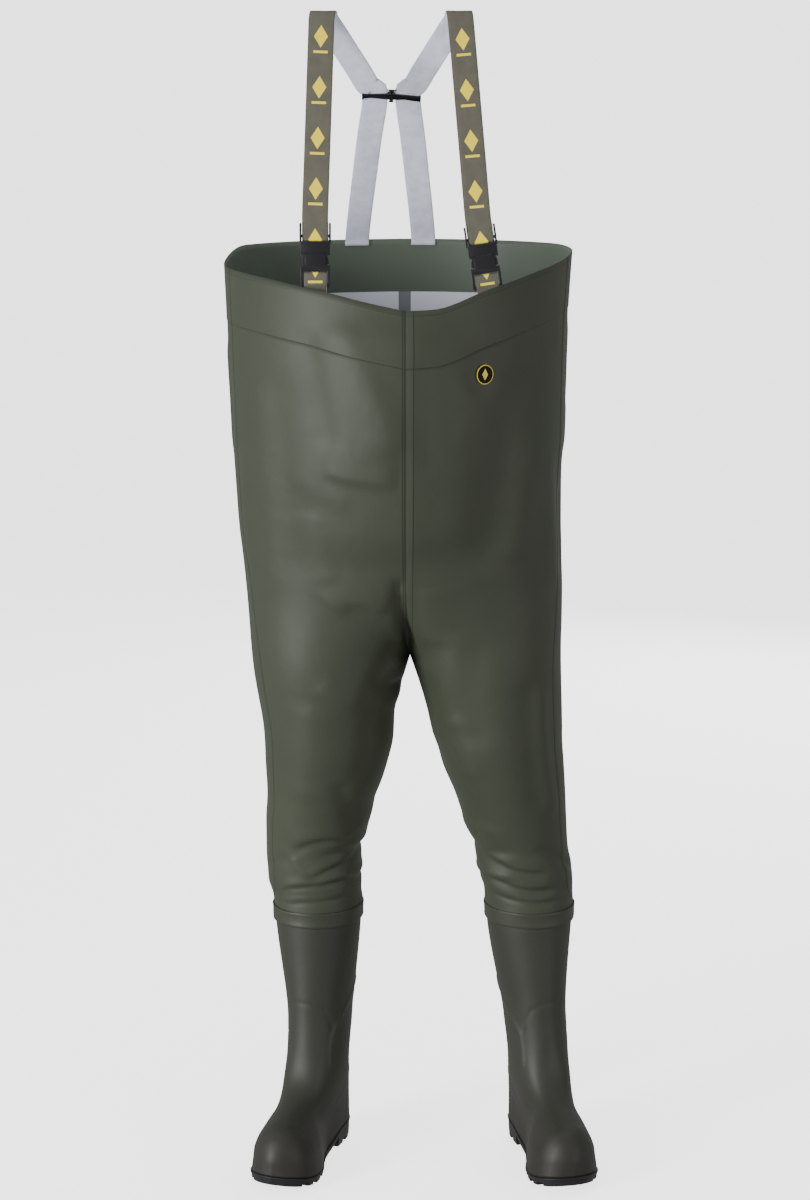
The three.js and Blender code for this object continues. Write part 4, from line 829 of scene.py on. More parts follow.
def build_body():
    turns = spaced(84, (0.0, SEAM_TURN, SEAM_TURN + 0.036, 2.0))
    hem_rows = np.concatenate(
        [np.linspace(0, HEM_DEPTH - 1, 10), [HEM_DEPTH - 0.3, HEM_DEPTH, HEM_DEPTH + 0.5, HEM_DEPTH + 0.9]]
    )
    low_rows = np.linspace(0, 1, 92)[1:]
    leg_rows = np.concatenate([np.linspace(0, 0.66, 50)[1:], np.linspace(0.66, 0.995, 66)[1:]])
    lap_rows = np.linspace(BOOT_HEIGHT, BOOT_HEIGHT - CUFF_LAP, 4)
    made = Mesh()
    step = []
    uv = []
    grids = {}
    for side in ("right", "left"):
        sign = STANCE[side]["side"]
        rim = rim_height(side, turns)
        rows = []
        for drop in hem_rows:
            z = rim - drop
            rows.append(made.add(torso_points(side, turns, z, rim)))
            on_hem = 1.0 if drop <= HEM_DEPTH + 0.1 else max(0.0, 1 - (drop - HEM_DEPTH) / 0.9)
            step.append(HEM_STEP * on_hem + seam_height(side, turns, 1.0))
            uv.append(np.stack([sign * turns, drop + 0 * turns], 1))
        for share in low_rows:
            top = rim - HEM_DEPTH - 0.9
            z = top + (CROTCH_HEIGHT - top) * share
            rows.append(made.add(torso_points(side, turns, z, rim)))
            fade = 1 - float(smooth(0.93, 0.99, share))
            step.append(seam_height(side, turns, fade))
            uv.append(np.stack([sign * turns, rim - z], 1))
        grids[side] = rows
    legs = {}
    for side in ("right", "left"):
        sign = STANCE[side]["side"]
        loop = turns[:-1]
        rows = [grids[side][-1][:-1]]
        for share in leg_rows:
            free = leg_points(side, loop, share)
            height_here = CROTCH_HEIGHT - (CROTCH_HEIGHT - BOOT_HEIGHT) * max(share, 0.9)
            cuff = cuff_points(side, loop, height_here, FABRIC)
            cuff[:, 2] = free[:, 2]
            blend = float(smooth(0.9, 0.992, share))
            rows.append(made.add(free + (cuff - free) * blend))
            step.append(seam_height(side, loop, 0.0) * (1 - blend))
            uv.append(np.stack([sign * loop, 700 + 400 * share + 0 * loop], 1))
        for z in lap_rows:
            rows.append(made.add(cuff_points(side, loop, z, FABRIC)))
            step.append(0 * loop)
            uv.append(np.stack([sign * loop, 1100 + 0 * loop], 1))
        legs[side] = rows
    # The inside has every second row where the fabric is calm
    torso_all = list(range(len(hem_rows) + len(low_rows)))
    torso_few = torso_all[:14] + torso_all[15:65:2] + torso_all[65:]
    legs_all = list(range(1 + len(leg_rows) + len(lap_rows)))
    legs_few = legs_all[:12] + legs_all[13:48:2] + legs_all[48:]

    def skin(torso_rows, leg_rows_used):
        made.faces.clear()
        made.mats.clear()
        for side in ("right", "left"):
            flip = STANCE[side]["side"] < 0
            made.skin([grids[side][i] for i in torso_rows], False, flip)
            made.skin([legs[side][i] for i in leg_rows_used], True, flip)
        return np.array(made.faces)

    inside = skin(torso_few, legs_few)
    outside = skin(torso_all, legs_all)
    points = made.all_points()
    # The bend between the torso and the legs is evened out, away from the crotch itself
    calm_turns = smooth(0.15, 0.45, turns[:-1]) * smooth(0.15, 0.45, 2 - turns[:-1])
    for side in ("right", "left"):
        rows = np.array([row[:-1] for row in grids[side]] + legs[side][1:])
        grid = points[rows]
        share = (1 - smooth(60, 140, np.abs(grid[..., 2] - CROTCH_HEIGHT))) * calm_turns
        for _ in range(80):
            grid[1:-1] += share[1:-1, :, None] * ((grid[:-2] + grid[2:]) / 4 - grid[1:-1] / 2)
        points[rows] = grid
    step = np.concatenate(step)
    uv = np.concatenate(uv)
    # Points on the middle lines belong to both halves, so both are given the same normal
    pair_a = np.concatenate([[row[0], row[-1]] for row in grids["right"]])
    pair_b = np.concatenate([[row[0], row[-1]] for row in grids["left"]])
    joined = np.arange(len(points))
    joined[pair_b] = pair_a
    joined[grids["right"][-1][-1]] = grids["right"][-1][0]
    joined[grids["left"][-1][-1]] = grids["right"][-1][0]
    joined[grids["left"][-1][0]] = grids["right"][-1][0]
    faces = joined[outside]
    normals = point_normals(points, faces.tolist())[joined]
    height = fold_heights(points, normals)
    z = points[:, 2]
    torso = uv[:, 1] < 690
    calm = np.where(torso, smooth(-40, 60, uv[:, 1]), 1.0)
    calm = calm * smooth(BOOT_HEIGHT + 2, BOOT_HEIGHT + 26, z)
    outer = points + normals * (step + height * calm)[:, None]
    edges = [grids["right"][0], grids["left"][0], legs["right"][-1], legs["left"][-1]]
    base = points + normals * (height * calm)[:, None]
    back_to = normals.copy()
    for row in edges:
        back_to[row, 2] = 0
    back_to /= np.linalg.norm(back_to, axis=1, keepdims=True)
    inner = base - back_to * FABRIC
    count = len(points)
    all_faces = faces.tolist()
    mats = [0] * len(all_faces)
    middle_drop = uv[:, 1]
    # Inside faces take the facing at the hem, the lining seam at the back, and the pale lining down to 400 mm
    # below the rim. Below that they take the lining in painted shade, darker as if in shadow
    for face in joined[inside].tolist():
        drop = middle_drop[face].mean()
        turn_here = np.abs(uv[face, 0]).mean()
        in_torso = drop < 690
        if in_torso and drop < HEM_DEPTH + 1:
            mat = 1
        elif in_torso and turn_here > 1.975:
            mat = 3
        elif in_torso and drop < 400:
            mat = 2
        else:
            mat = 4
        all_faces.append([c + count for c in face[::-1]])
        mats.append(mat)
    rim_loop = joined[np.concatenate([grids["left"][0], grids["right"][0][1:-1][::-1]])]

    def close(top, bottom):
        top = np.append(top, top[0])
        bottom = np.append(bottom, bottom[0])
        for i in range(len(top) - 1):
            all_faces.append([int(top[i]), int(bottom[i]), int(bottom[i + 1]), int(top[i + 1])])
            mats.append(0)

    close(rim_loop + count, rim_loop)
    for side in ("right", "left"):
        last = legs[side][-1]
        last = last[::-1] if STANCE[side]["side"] < 0 else last
        close(last, last + count)
    both = np.concatenate([outer, inner])
    used = np.unique(np.concatenate([np.array(f) for f in all_faces]))
    lookup = -np.ones(len(both), int)
    lookup[used] = np.arange(len(used))
    faces_used = [[int(lookup[c]) for c in f] for f in all_faces]
    uv_both = np.concatenate([uv, uv])[used]
    materials = [fabric_out, facing, lining, lining_seam, lining_in_painted_shade]
    body = object_from("body_fabric", both[used], faces_used, mats, materials, uv_both)
    return stands_for(body, "wader_body")


# The boots


def plan_width(along, column):
    return follow(PLAN, "along", column, along) * BALL_WIDTH / 2


def feather_height(s):
    return HEEL_HEIGHT * follow(FEATHER, "along", "height", np.asarray(s) / FOOT_LENGTH)


def toe_shift(s):
    return -TOE_SWING * smooth(0.45, 1.0, np.asarray(s) / FOOT_LENGTH)


def ridge_height(s):
    return BOOT_HEIGHT * follow(RIDGE, "along", "height", np.asarray(s) / FOOT_LENGTH)


def ridge_end(z, wall):
    low = 0.4 * FOOT_LENGTH
    high = float(FOOT_LENGTH)
    for _ in range(26):
        middle = (low + high) / 2
        if ridge_height(middle + wall) - wall > z:
            low = middle
        else:
            high = middle
    return low


def station_at(turn, rear, shaft_front, front):
    share = (1 - np.cos(turn)) / 2
    return rear + (shaft_front - rear) * share + (front - shaft_front) * share**2.2


def boot_loop(level, stance, wall, turn):
    """A loop of the boot in the foot frame: s, t and z."""
    z = level * BOOT_HEIGHT
    shaft = float(smooth(*SHAFT_BLEND, level))
    ankle = float(smooth(*ANKLE_BLEND, level))
    rear = float(follow(SHAFT, "up", "rear", level)) * SHAFT_DEPTH + wall
    shaft_front = float(follow(SHAFT, "up", "front", level)) * SHAFT_DEPTH - wall
    front = shaft_front
    if level <= SHAFT_BLEND[1]:
        front = ridge_end(z, wall) * (1 - shaft) + shaft_front * shaft
    half = float(follow(SHAFT, "up", "half", level)) * SHAFT_WIDTH / 2 - wall
    lean = -stance["lean"] * float(smooth(0.35, 1.0, level))
    s = station_at(turn, rear, shaft_front, front)
    outer = np.sin(turn) < 0
    along = np.clip(s / FOOT_LENGTH, 0, 1)
    ridge = ridge_height(s + wall) - wall
    roundness = np.clip(1 - (z / ridge) ** RIDGE_CURVE, 0, None) ** 0.47
    width = np.where(outer, plan_width(along, "outer"), plan_width(along, "inner"))
    foot = np.clip(width - wall, 0, None) * roundness
    local = np.minimum(0.5, (s - rear) / (shaft_front - rear))
    closing = np.sqrt(np.clip(1 - (1 - 2 * local) ** 2, 0, None))
    oval = half * (closing * (1 - shaft) + np.abs(np.sin(turn)) * shaft)
    near = 1 - smooth(0.36, 0.56, along)
    weight = shaft + (ankle - shaft) * near
    t = foot + (oval - foot) * weight
    tips = np.isclose(np.abs(np.sin(turn)), 0, atol=1e-9)
    t = np.where(tips, 0, np.where(outer, t, -t))
    t = t + lean + toe_shift(s) * (1 - shaft)
    return np.stack([s, t, z + 0 * s], 1)


def sole_loop(outwards, height_at, turn):
    s = station_at(turn, 0, SHAFT_DEPTH, FOOT_LENGTH)
    outside = np.sin(turn) < 0
    width = np.where(outside, plan_width(s / FOOT_LENGTH, "outer"), -plan_width(s / FOOT_LENGTH, "inner"))
    tips = np.isclose(np.abs(np.sin(turn)), 0, atol=1e-9)
    t = np.where(tips, 0, width - outwards * np.sin(turn)) + toe_shift(s)
    return np.stack([s - outwards * np.cos(turn), t, height_at(s)], 1)


def boot_relief(points, normals):
    """Moulded lines and ribs of the boot, as heights along the normal."""
    height = np.zeros(len(points))
    s, t, z = points.T
    for face, line, size, width in BOOT_LINES:
        if face in ("outer", "inner"):
            flat = np.stack([s, z], 1)
            sign = 1 if face == "outer" else -1
            share = smooth(0.15, 0.5, normals[:, 1] * sign)
        elif face == "front":
            flat = np.stack([t, z], 1)
            share = smooth(0.15, 0.5, normals[:, 0])
        else:
            flat = np.stack([s, t], 1)
            share = smooth(30, 60, z) * (z < 150)
        distance, along, _ = line_distance(flat, line)
        ends = smooth(0, 0.06, along) * smooth(0, 0.06, 1 - along)
        height += size * np.exp(-((distance / width) ** 2)) * share * (0.1 + 0.9 * ends)
    for rib in SHAFT_RIBS:
        lateral = smooth(0.6, 0.9, normals[:, 1]) * np.exp(-(((s - 62) / 22) ** 4))
        frontal = smooth(0.5, 0.9, normals[:, 0]) * np.exp(-(((t + 24) / 20) ** 4))
        height += 0.8 * np.exp(-(((z - rib) / 1.3) ** 2)) * np.maximum(lateral, frontal)
    cap = smooth(243, 248, s) * smooth(35, 60, z) * (z < 160)
    height += 0.5 * cap
    heel = (1 - smooth(60, 110, s + 0.9 * (z - 60))) * (z < 135) * smooth(24, 34, z)
    height += 0.6 * np.clip(heel, 0, 1)
    return height


def boot_levels():
    shaft = np.linspace(1.0, 0.42, 64)
    ankle = np.linspace(0.42, 0.3, 16)[1:]
    vamp = np.linspace(0.3, 0.2, 26)[1:]
    low = np.linspace(0.2, 0.128, 8)[1:]
    return np.concatenate([shaft, ankle, vamp, low])


def eased(loops):
    """Evens the loops out over the ankle and the instep, where shaft and foot run into each other."""
    grid = np.array(loops)
    level = grid[..., 2] / BOOT_HEIGHT
    share = smooth(0.22, 0.3, level) * (1 - smooth(0.5, 0.65, level))
    share = share * smooth(0.25, 0.4, grid[..., 0] / FOOT_LENGTH)
    for _ in range(90):
        middle = grid.copy()
        around = np.roll(grid, 1, 1) + np.roll(grid, -1, 1)
        middle[1:-1] = (around[1:-1] + grid[:-2] + grid[2:]) / 4
        grid += share[..., None] * (middle - grid)
    return list(grid)


def build_upper(side):
    stance = STANCE[side]
    count = 152
    turn = 2 * np.pi * np.arange(count) / count
    made = Mesh()
    skins = []
    for wall in (0.0, BOOT_WALL):
        loops = [boot_loop(level, stance, wall, turn) for level in boot_levels()]
        edge = sole_loop(-wall, lambda s: feather_height(s) + FIT, turn)
        last = loops[-1]
        for share in np.linspace(0, 1, 9)[1:]:
            loops.append(last + (edge - last) * share)
        skins.append([made.add(loop) for loop in eased(loops)])
    made.skin(skins[0])
    points = made.all_points()
    normals = point_normals(points, made.faces)
    height = boot_relief(points, normals)
    first_inside = skins[1][0][0]
    height[first_inside:] = 0
    points = points + normals * height[:, None]
    made.skin(skins[1], flip=True, mat=1)
    made.strip(skins[1][0], skins[0][0], True)
    made.strip(skins[0][-1], skins[1][-1], True)
    world = place(points[:, 0], points[:, 1], points[:, 2], stance)
    faces = made.faces
    if stance["side"] < 0:
        faces = [face[::-1] for face in faces]
    obj = object_from(f"upper_{side}", world, faces, made.mats, [boot_mat, boot_inside])
    return stands_for(obj, f"boot_upper_{side}")


def tread_height(s):
    return TOE_SPRING * np.clip((np.asarray(s) / FOOT_LENGTH - 0.7) / 0.3, 0, None) ** 1.7


def prism(outline, low, high):
    """A prism across the foot from an outline of s and z, to cut with."""
    count = len(outline)
    points = [(s, low, z) for s, z in outline] + [(s, high, z) for s, z in outline]
    faces = [list(range(count)), [count + i for i in range(count)][::-1]]
    for i in range(count):
        j = (i + 1) % count
        faces.append([i, count + i, count + j, j])
    mesh = bpy.data.meshes.new("cutter")
    mesh.from_pydata([tuple(c / 1000 for c in p) for p in points], [], faces)
    mesh.update()
    return linked("cutter", mesh)


def reworked(obj, change):
    """Changes the mesh of an object through bmesh."""
    made = bmesh.new()
    made.from_mesh(obj.data)
    change(made)
    made.to_mesh(obj.data)
    made.free()


def turned_out(obj):
    """Makes the normals of a closed mesh point outwards."""
    reworked(obj, lambda made: bmesh.ops.recalc_face_normals(made, faces=made.faces))


def applied(obj):
    """Replaces the mesh by what its modifiers make of it."""
    graph = bpy.context.evaluated_depsgraph_get()
    mesh = bpy.data.meshes.new_from_object(obj.evaluated_get(graph))
    obj.modifiers.clear()
    old = obj.data
    obj.data = mesh
    bpy.data.meshes.remove(old)


def cut(obj, cutters):
    for cutter in cutters:
        turned_out(cutter)
        modifier = obj.modifiers.new("cut", "BOOLEAN")
        modifier.operation = "DIFFERENCE"
        modifier.solver = "EXACT"
        modifier.object = cutter
        bpy.context.view_layer.update()
        applied(obj)
        mesh = cutter.data
        bpy.data.objects.remove(cutter)
        bpy.data.meshes.remove(mesh)


def shade_by_angle(obj, degrees=35):
    mesh = obj.data
    mesh.polygons.foreach_set("use_smooth", [True] * len(mesh.polygons))
    mesh.set_sharp_from_angle(angle=math.radians(degrees))


def build_sole(side):
    stance = STANCE[side]
    count = 152
    turn = 2 * np.pi * np.arange(count) / count
    made = Mesh()
    profile = [
        (SOLE_LEDGE - 0.8, lambda s: feather_height(s)),
        (SOLE_LEDGE - 0.2, lambda s: feather_height(s) - 0.3),
        (SOLE_LEDGE, lambda s: feather_height(s) - 0.9),
        (SOLE_LEDGE, lambda s: feather_height(s) - SOLE_BAND + 0.6),
        (SOLE_LEDGE - 0.3, lambda s: feather_height(s) - SOLE_BAND),
        (SOLE_LEDGE - SOLE_STEP, lambda s: feather_height(s) - SOLE_BAND - 0.5),
        (SOLE_LEDGE - 1.3 * SOLE_STEP, lambda s: 0.5 * (feather_height(s) - SOLE_BAND + tread_height(s))),
        (SOLE_LEDGE - 1.9 * SOLE_STEP, lambda s: tread_height(s) + 0.9),
        (SOLE_LEDGE - 2.4 * SOLE_STEP, lambda s: tread_height(s)),
    ]
    loops = [made.add(sole_loop(out, height, turn)) for out, height in profile]
    made.skin(loops)

    def cap(loop, flip):
        size = len(loop)
        for i in range(size // 2):
            corners = [loop[i], loop[i + 1], loop[(size - i - 1) % size], loop[(size - i) % size]]
            unique = []
            for c in corners:
                if c not in unique:
                    unique.append(c)
            if len(unique) > 2:
                made.face(unique[::-1] if flip else unique)

    cap(loops[0], False)
    cap(loops[-1], True)
    points = made.all_points()
    mesh = bpy.data.meshes.new(f"outsole_{side}")
    mesh.from_pydata((points / 1000).tolist(), [], made.faces)
    mesh.update()
    obj = linked(f"outsole_{side}", mesh)
    turned_out(obj)
    heel_end = HEEL_END * FOOT_LENGTH
    arch_end = ARCH_END * FOOT_LENGTH
    top = float(feather_height(heel_end)) - 2.6 * SOLE_BAND
    curve = []
    for k in range(13):
        u = k / 12
        s = (1 - u) ** 2 * heel_end + 2 * u * (1 - u) * (heel_end + arch_end) / 2 + u * u * arch_end
        z = (1 - u) ** 2 * top + 2 * u * (1 - u) * LUG_DEPTH
        curve.append((s, z))
    outline = [(heel_end, -1), *curve, (arch_end + 2, -1)]
    cutters = [prism(outline, -BALL_WIDTH / 2 - 5, BALL_WIDTH / 2 + 5)]
    for start, end in LUG_GAPS:
        low = start * FOOT_LENGTH
        high = end * FOOT_LENGTH
        roof = float(tread_height((low + high) / 2)) + LUG_DEPTH
        shape = [(low - 0.6, -2), (high + 0.6, -2), (high - 0.4, roof), (low + 0.4, roof)]
        cutters.append(prism(shape, -BALL_WIDTH, BALL_WIDTH))
    half = LUG_CHANNEL / 2
    end = 0.94 * FOOT_LENGTH
    roof = LUG_DEPTH - 1
    cutters.append(prism([(-20, -3), (end, -3), (end, roof), (-20, roof)], -half, half))
    cut(obj, cutters)
    places = np.empty(len(obj.data.vertices) * 3)
    obj.data.vertices.foreach_get("co", places)
    local = places.reshape(-1, 3) * 1000
    world = (place(local[:, 0], local[:, 1], local[:, 2], stance) + SHIFT) / 1000
    obj.data.vertices.foreach_set("co", world.ravel())
    obj.data.update()
    turned_out(obj)
    obj.data.materials.clear()
    obj.data.materials.append(sole_mat)
    shade_by_angle(obj, 40)
    return stands_for(obj, f"boot_sole_{side}")


def build_band(side):
    """Welded tape round the joint, with the end of the tape as a small step at the front."""
    count = 160
    turn = 2 * np.arange(count) / count
    top = BOOT_HEIGHT + 3
    end = BOOT_HEIGHT - CUFF_LAP
    made = Mesh()
    tick = 0.56 if side == "right" else 0.66
    profile = [
        (top - 0.6, FIT + 0.1), (top, FIT + 0.5), (top - 0.5, BAND_THICKNESS),
        (top - 3, BAND_THICKNESS + 0.25), (top - 5, BAND_THICKNESS),
        (end + 5, BAND_THICKNESS), (end + 3, BAND_THICKNESS + 0.25),
        (end + 0.6, BAND_THICKNESS), (end, FIT + 0.4), (end + 0.6, FIT + 0.1),
    ]
    loops = []
    for z, out in profile:
        wave = 0.25 * np.sin(turn * 9 + z) + 0.2 * np.sin(turn * 23 + 0.7 * z)
        lap = 0.7 * smooth(tick - 0.006, tick + 0.002, turn) * (1 - smooth(tick + 0.25, tick + 0.35, turn))
        proud = (out > 0.9) * (np.clip(wave, -0.2, 0.4) + lap)
        loops.append(made.add(cuff_points(side, turn, z, FABRIC + FIT + out + proud)))
    made.skin([*loops, loops[0]])
    faces = made.faces
    if STANCE[side]["side"] < 0:
        faces = [face[::-1] for face in faces]
    obj = object_from(f"tape_{side}", made.all_points(), faces, made.mats, [band_mat])
    return stands_for(obj, f"shaft_band_{side}")


# The braces

# Where the braces run, as shares of half the chest width from the middle line, and the tilt of each buckle
BRACES = {
    "right": {"buckle": -0.498, "shoulder": -0.463, "slide": -0.173, "rim": -0.287, "tilt": 0},
    "left": {"buckle": 0.463, "shoulder": 0.309, "slide": 0.018, "rim": 0.11, "tilt": -8.5},
}
socket_top = BUCKLE_LOOP + SOCKET_HEIGHT
plug_top = socket_top + FIT + PLUG_HEIGHT


def buckle_frame(side):
    """Place and turn of a buckle, found from the box of its socket."""
    tilt = math.radians(BRACES[side]["tilt"])
    turn = Matrix.Rotation(tilt, 3, "Y") @ Matrix.Rotation(math.radians(-BUCKLE_LEAN), 3, "X")
    edge = 22.3
    levels = [(edge, 4.5, BUCKLE_BAR + 1), (edge, 4.5, socket_top), (edge, 2.2, 2), (edge - 2, 2.2, 0)]
    corners = [Vector((a * x, b * y, z)) for x, y, z in levels for a in (-1, 1) for b in (-1, 1)]
    placed = [turn @ c for c in corners]
    low = Vector([min(p[i] for p in placed) for i in range(3)])
    high = Vector([max(p[i] for p in placed) for i in range(3)])
    box_low, box_high = (Vector(c) * 1000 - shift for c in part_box(f"buckle_socket_{side}"))
    origin = ((box_low - low) + (box_high - high)) / 2
    return turn, origin


def ribbon_object(name, route, width, thickness, start_v, step=4.0):
    """A flat strap along a route of points with the direction of its width."""
    points = np.array([np.array(p) for p, _ in route])
    levels = np.array([np.array(level) for _, level in route])
    dense = []
    dense_levels = []
    last = len(points) - 1
    for i in range(last):
        p0 = points[max(0, i - 1)]
        p1 = points[i]
        p2 = points[i + 1]
        p3 = points[min(last, i + 2)]
        length = np.linalg.norm(p2 - p1)
        parts = max(2, int(math.ceil(length / step)))
        t0 = 0.0
        t1 = max(1e-3, np.linalg.norm(p1 - p0) ** 0.5)
        t2 = t1 + np.linalg.norm(p2 - p1) ** 0.5
        t3 = t2 + max(1e-3, np.linalg.norm(p3 - p2) ** 0.5)
        for k in range(parts):
            share = k / parts
            t = t1 + (t2 - t1) * share
            if i == 0 or i == last - 1:
                place_here = p1 + (p2 - p1) * share
            else:
                a1 = (t1 - t) / (t1 - t0) * p0 + (t - t0) / (t1 - t0) * p1
                a2 = (t2 - t) / (t2 - t1) * p1 + (t - t1) / (t2 - t1) * p2
                a3 = (t3 - t) / (t3 - t2) * p2 + (t - t2) / (t3 - t2) * p3
                b1 = (t2 - t) / (t2 - t0) * a1 + (t - t0) / (t2 - t0) * a2
                b2 = (t3 - t) / (t3 - t1) * a2 + (t - t1) / (t3 - t1) * a3
                place_here = (t2 - t) / (t2 - t1) * b1 + (t - t1) / (t2 - t1) * b2
            dense.append(place_here)
            dense_levels.append(levels[i] * (1 - share) + levels[i + 1] * share)
    dense.append(points[-1])
    dense_levels.append(levels[-1])
    dense = np.array(dense)
    dense_levels = np.array(dense_levels)
    tangent = np.gradient(dense, axis=0)
    tangent /= np.linalg.norm(tangent, axis=1, keepdims=True)
    across = dense_levels - (dense_levels * tangent).sum(1, keepdims=True) * tangent
    across /= np.linalg.norm(across, axis=1, keepdims=True)
    thick = np.cross(tangent, across)
    length = np.concatenate([[0], np.cumsum(np.linalg.norm(np.diff(dense, axis=0), axis=1))])
    half = width / 2
    flat = np.linspace(-half + 1.2, half - 1.2, 11)
    h = thickness / 2
    profile = [(half - 0.5, 0.62 * h), (half - 0.15, 0), (half - 0.5, -0.62 * h)]
    profile += [(x, -h if abs(x) < half - 4 else -0.85 * h) for x in flat[::-1]]
    profile += [(-half + 0.5, -0.62 * h), (-half + 0.15, 0), (-half + 0.5, 0.62 * h)]
    profile += [(x, h if abs(x) < half - 4 else 0.85 * h) for x in flat]
    made = Mesh()
    uv = []
    rows = []
    for p, a, n, v in zip(dense, across, thick, length):
        rows.append(made.add(np.array([p + a * x + n * y for x, y in profile])))
        uv.append(np.array([[x, v + start_v] for x, _ in profile]))
    size = len(profile)
    for r in range(len(rows) - 1):
        upper, lower = rows[r + 1], rows[r]
        for i in range(size):
            j = (i + 1) % size
            made.face([upper[i], lower[i], lower[j], upper[j]], 0 if 2 <= i <= 14 else 1)
    made.face(list(rows[0])[::-1], 1)
    made.face(list(rows[-1]), 1)
    obj = object_from(name, made.all_points(), made.faces, made.mats, [olive, pale], np.concatenate(uv))
    turned_out(obj)
    return obj


def build_tab(side):
    turn, origin = buckle_frame(side)
    level = turn @ Vector((1, 0, 0))
    gap = 2.2 + FIT + TAB_WEBBING / 2
    top = BUCKLE_LOOP - gap - TAB_WEBBING
    stops = [(-gap, -TAB_DROP), (-gap, 0)]
    for i in range(7):
        angle = math.pi * i / 6
        stops.append((-gap * math.cos(angle), top + gap * math.sin(angle)))
    stops += [(gap, 0), (gap, -TAB_DROP)]
    route = [(origin + turn @ Vector((0, y, z)), level) for y, z in stops]
    obj = ribbon_object(f"tab_{side}", route, TAB_WIDTH, TAB_WEBBING, -TAB_DROP + 10, 2.0)
    return stands_for(obj, f"strap_tab_{side}")


def tail_of(side):
    """Place and slope of the brace's tail, read from the plain strap."""
    strap = frame["nodes"][f"strap_{side}"]
    points = np.array([strap.matrix_world @ v.co for v in strap.data.vertices]) * 1000 - SHIFT
    tail = points[points[:, 2] < points[points[:, 1] > 150][:, 2].min() + 1]
    tail = tail[tail[:, 1] > 150]
    centre = tail.mean(0)
    slope = np.polyfit(tail[:, 0], tail[:, 1], 1)[0]
    return centre, slope


def build_brace(side):
    facts = BRACES[side]
    turn, origin = buckle_frame(side)
    tilted = turn @ Vector((1, 0, 0))
    level = Vector((1, 0, 0))
    route = []

    def local(y, z):
        route.append((origin + turn @ Vector((0, y, z)), tilted))

    def world(point, way=level):
        route.append((Vector(point), Vector(way)))

    radius = 2.9
    turn_height = plug_top + radius + WEBBING / 2 + FIT
    local(radius * 2 - 1, plug_top + PLUG_ARMS - 2)
    for i in range(5):
        angle = math.pi * i / 4
        local(radius - 1 + radius * math.cos(angle), turn_height - radius * math.sin(angle))
    local(-1, plug_top + PLUG_ARMS)
    foot = origin + turn @ Vector((0, -1, plug_top + PLUG_ARMS + 12))
    world(foot, tilted)
    slide_x = facts["slide"] * CHEST_HALF_WIDTH
    rim_x = facts["rim"] * CHEST_HALF_WIDTH
    sx, sy, sz = facts["shoulder"] * CHEST_HALF_WIDTH, -SHOULDER_FORWARD, SHOULDER_HEIGHT
    front = Vector((sx, sy - SHOULDER_RADIUS, sz))
    for share in (0.25, 0.5, 0.75, 0.93):
        sag = 2.0 * math.sin(math.pi * share)
        world(foot.lerp(front, share) + Vector((0, sag, 0)), tilted.lerp(level, share))
    drift = (slide_x - sx) * 0.06
    for i in range(7):
        angle = math.pi * i / 6 - 0.12
        y = sy - SHOULDER_RADIUS * math.cos(angle)
        world((sx + drift * i / 6, y, sz + SHOULDER_RADIUS * math.sin(angle)))
    slide = Vector((slide_x, slide_depth, slide_height))
    start = route[-1][0]
    for share in (0.15, 0.4, 0.7, 0.88):
        world(start.lerp(slide, share))
    for step in (12, 0, -12):
        world(slide + Vector((0, -step * math.sin(slide_lean), step * math.cos(slide_lean))))
    centre, slope = tail_of(side)
    rim = centre[2] + TAIL_DROP
    seat = centre[1]
    flat = Vector((1, slope, 0)).normalized()
    rim_point = Vector((rim_x, seat, rim + 8))
    for share in (0.3, 0.6, 0.85):
        world(slide.lerp(rim_point, share), Vector((1, slope * share, 0)).normalized())
    world((rim_x, seat, rim - 2), flat)
    world((rim_x, seat, rim - TAIL_DROP), flat)
    obj = ribbon_object(f"brace_{side}", route, WEBBING_WIDTH, WEBBING, 12, 5.0)
    return stands_for(obj, f"strap_{side}")


# Plastic pieces are the plain solids with rounded edges


def rounded(name, source, made_of, radius):
    """A copy of a plain solid with its edges rounded."""
    plain = frame["nodes"][source]
    obj = linked(name, plain.data.copy())
    obj.matrix_world = plain.matrix_world.copy()

    def simplified(made):
        bmesh.ops.remove_doubles(made, verts=made.verts, dist=1e-5)
        bmesh.ops.dissolve_limit(made, angle_limit=math.radians(1), verts=made.verts, edges=made.edges)

    reworked(obj, simplified)
    bevel = obj.modifiers.new("round", "BEVEL")
    bevel.width = radius / 1000
    bevel.segments = 2
    bevel.limit_method = "ANGLE"
    bevel.angle_limit = math.radians(30)
    bevel.use_clamp_overlap = True
    bpy.context.view_layer.update()
    applied(obj)
    obj.data.materials.clear()
    obj.data.materials.append(made_of)
    obj.data.polygons.foreach_set("material_index", [0] * len(obj.data.polygons))
    shade_by_angle(obj, 40)
    return stands_for(obj, source)


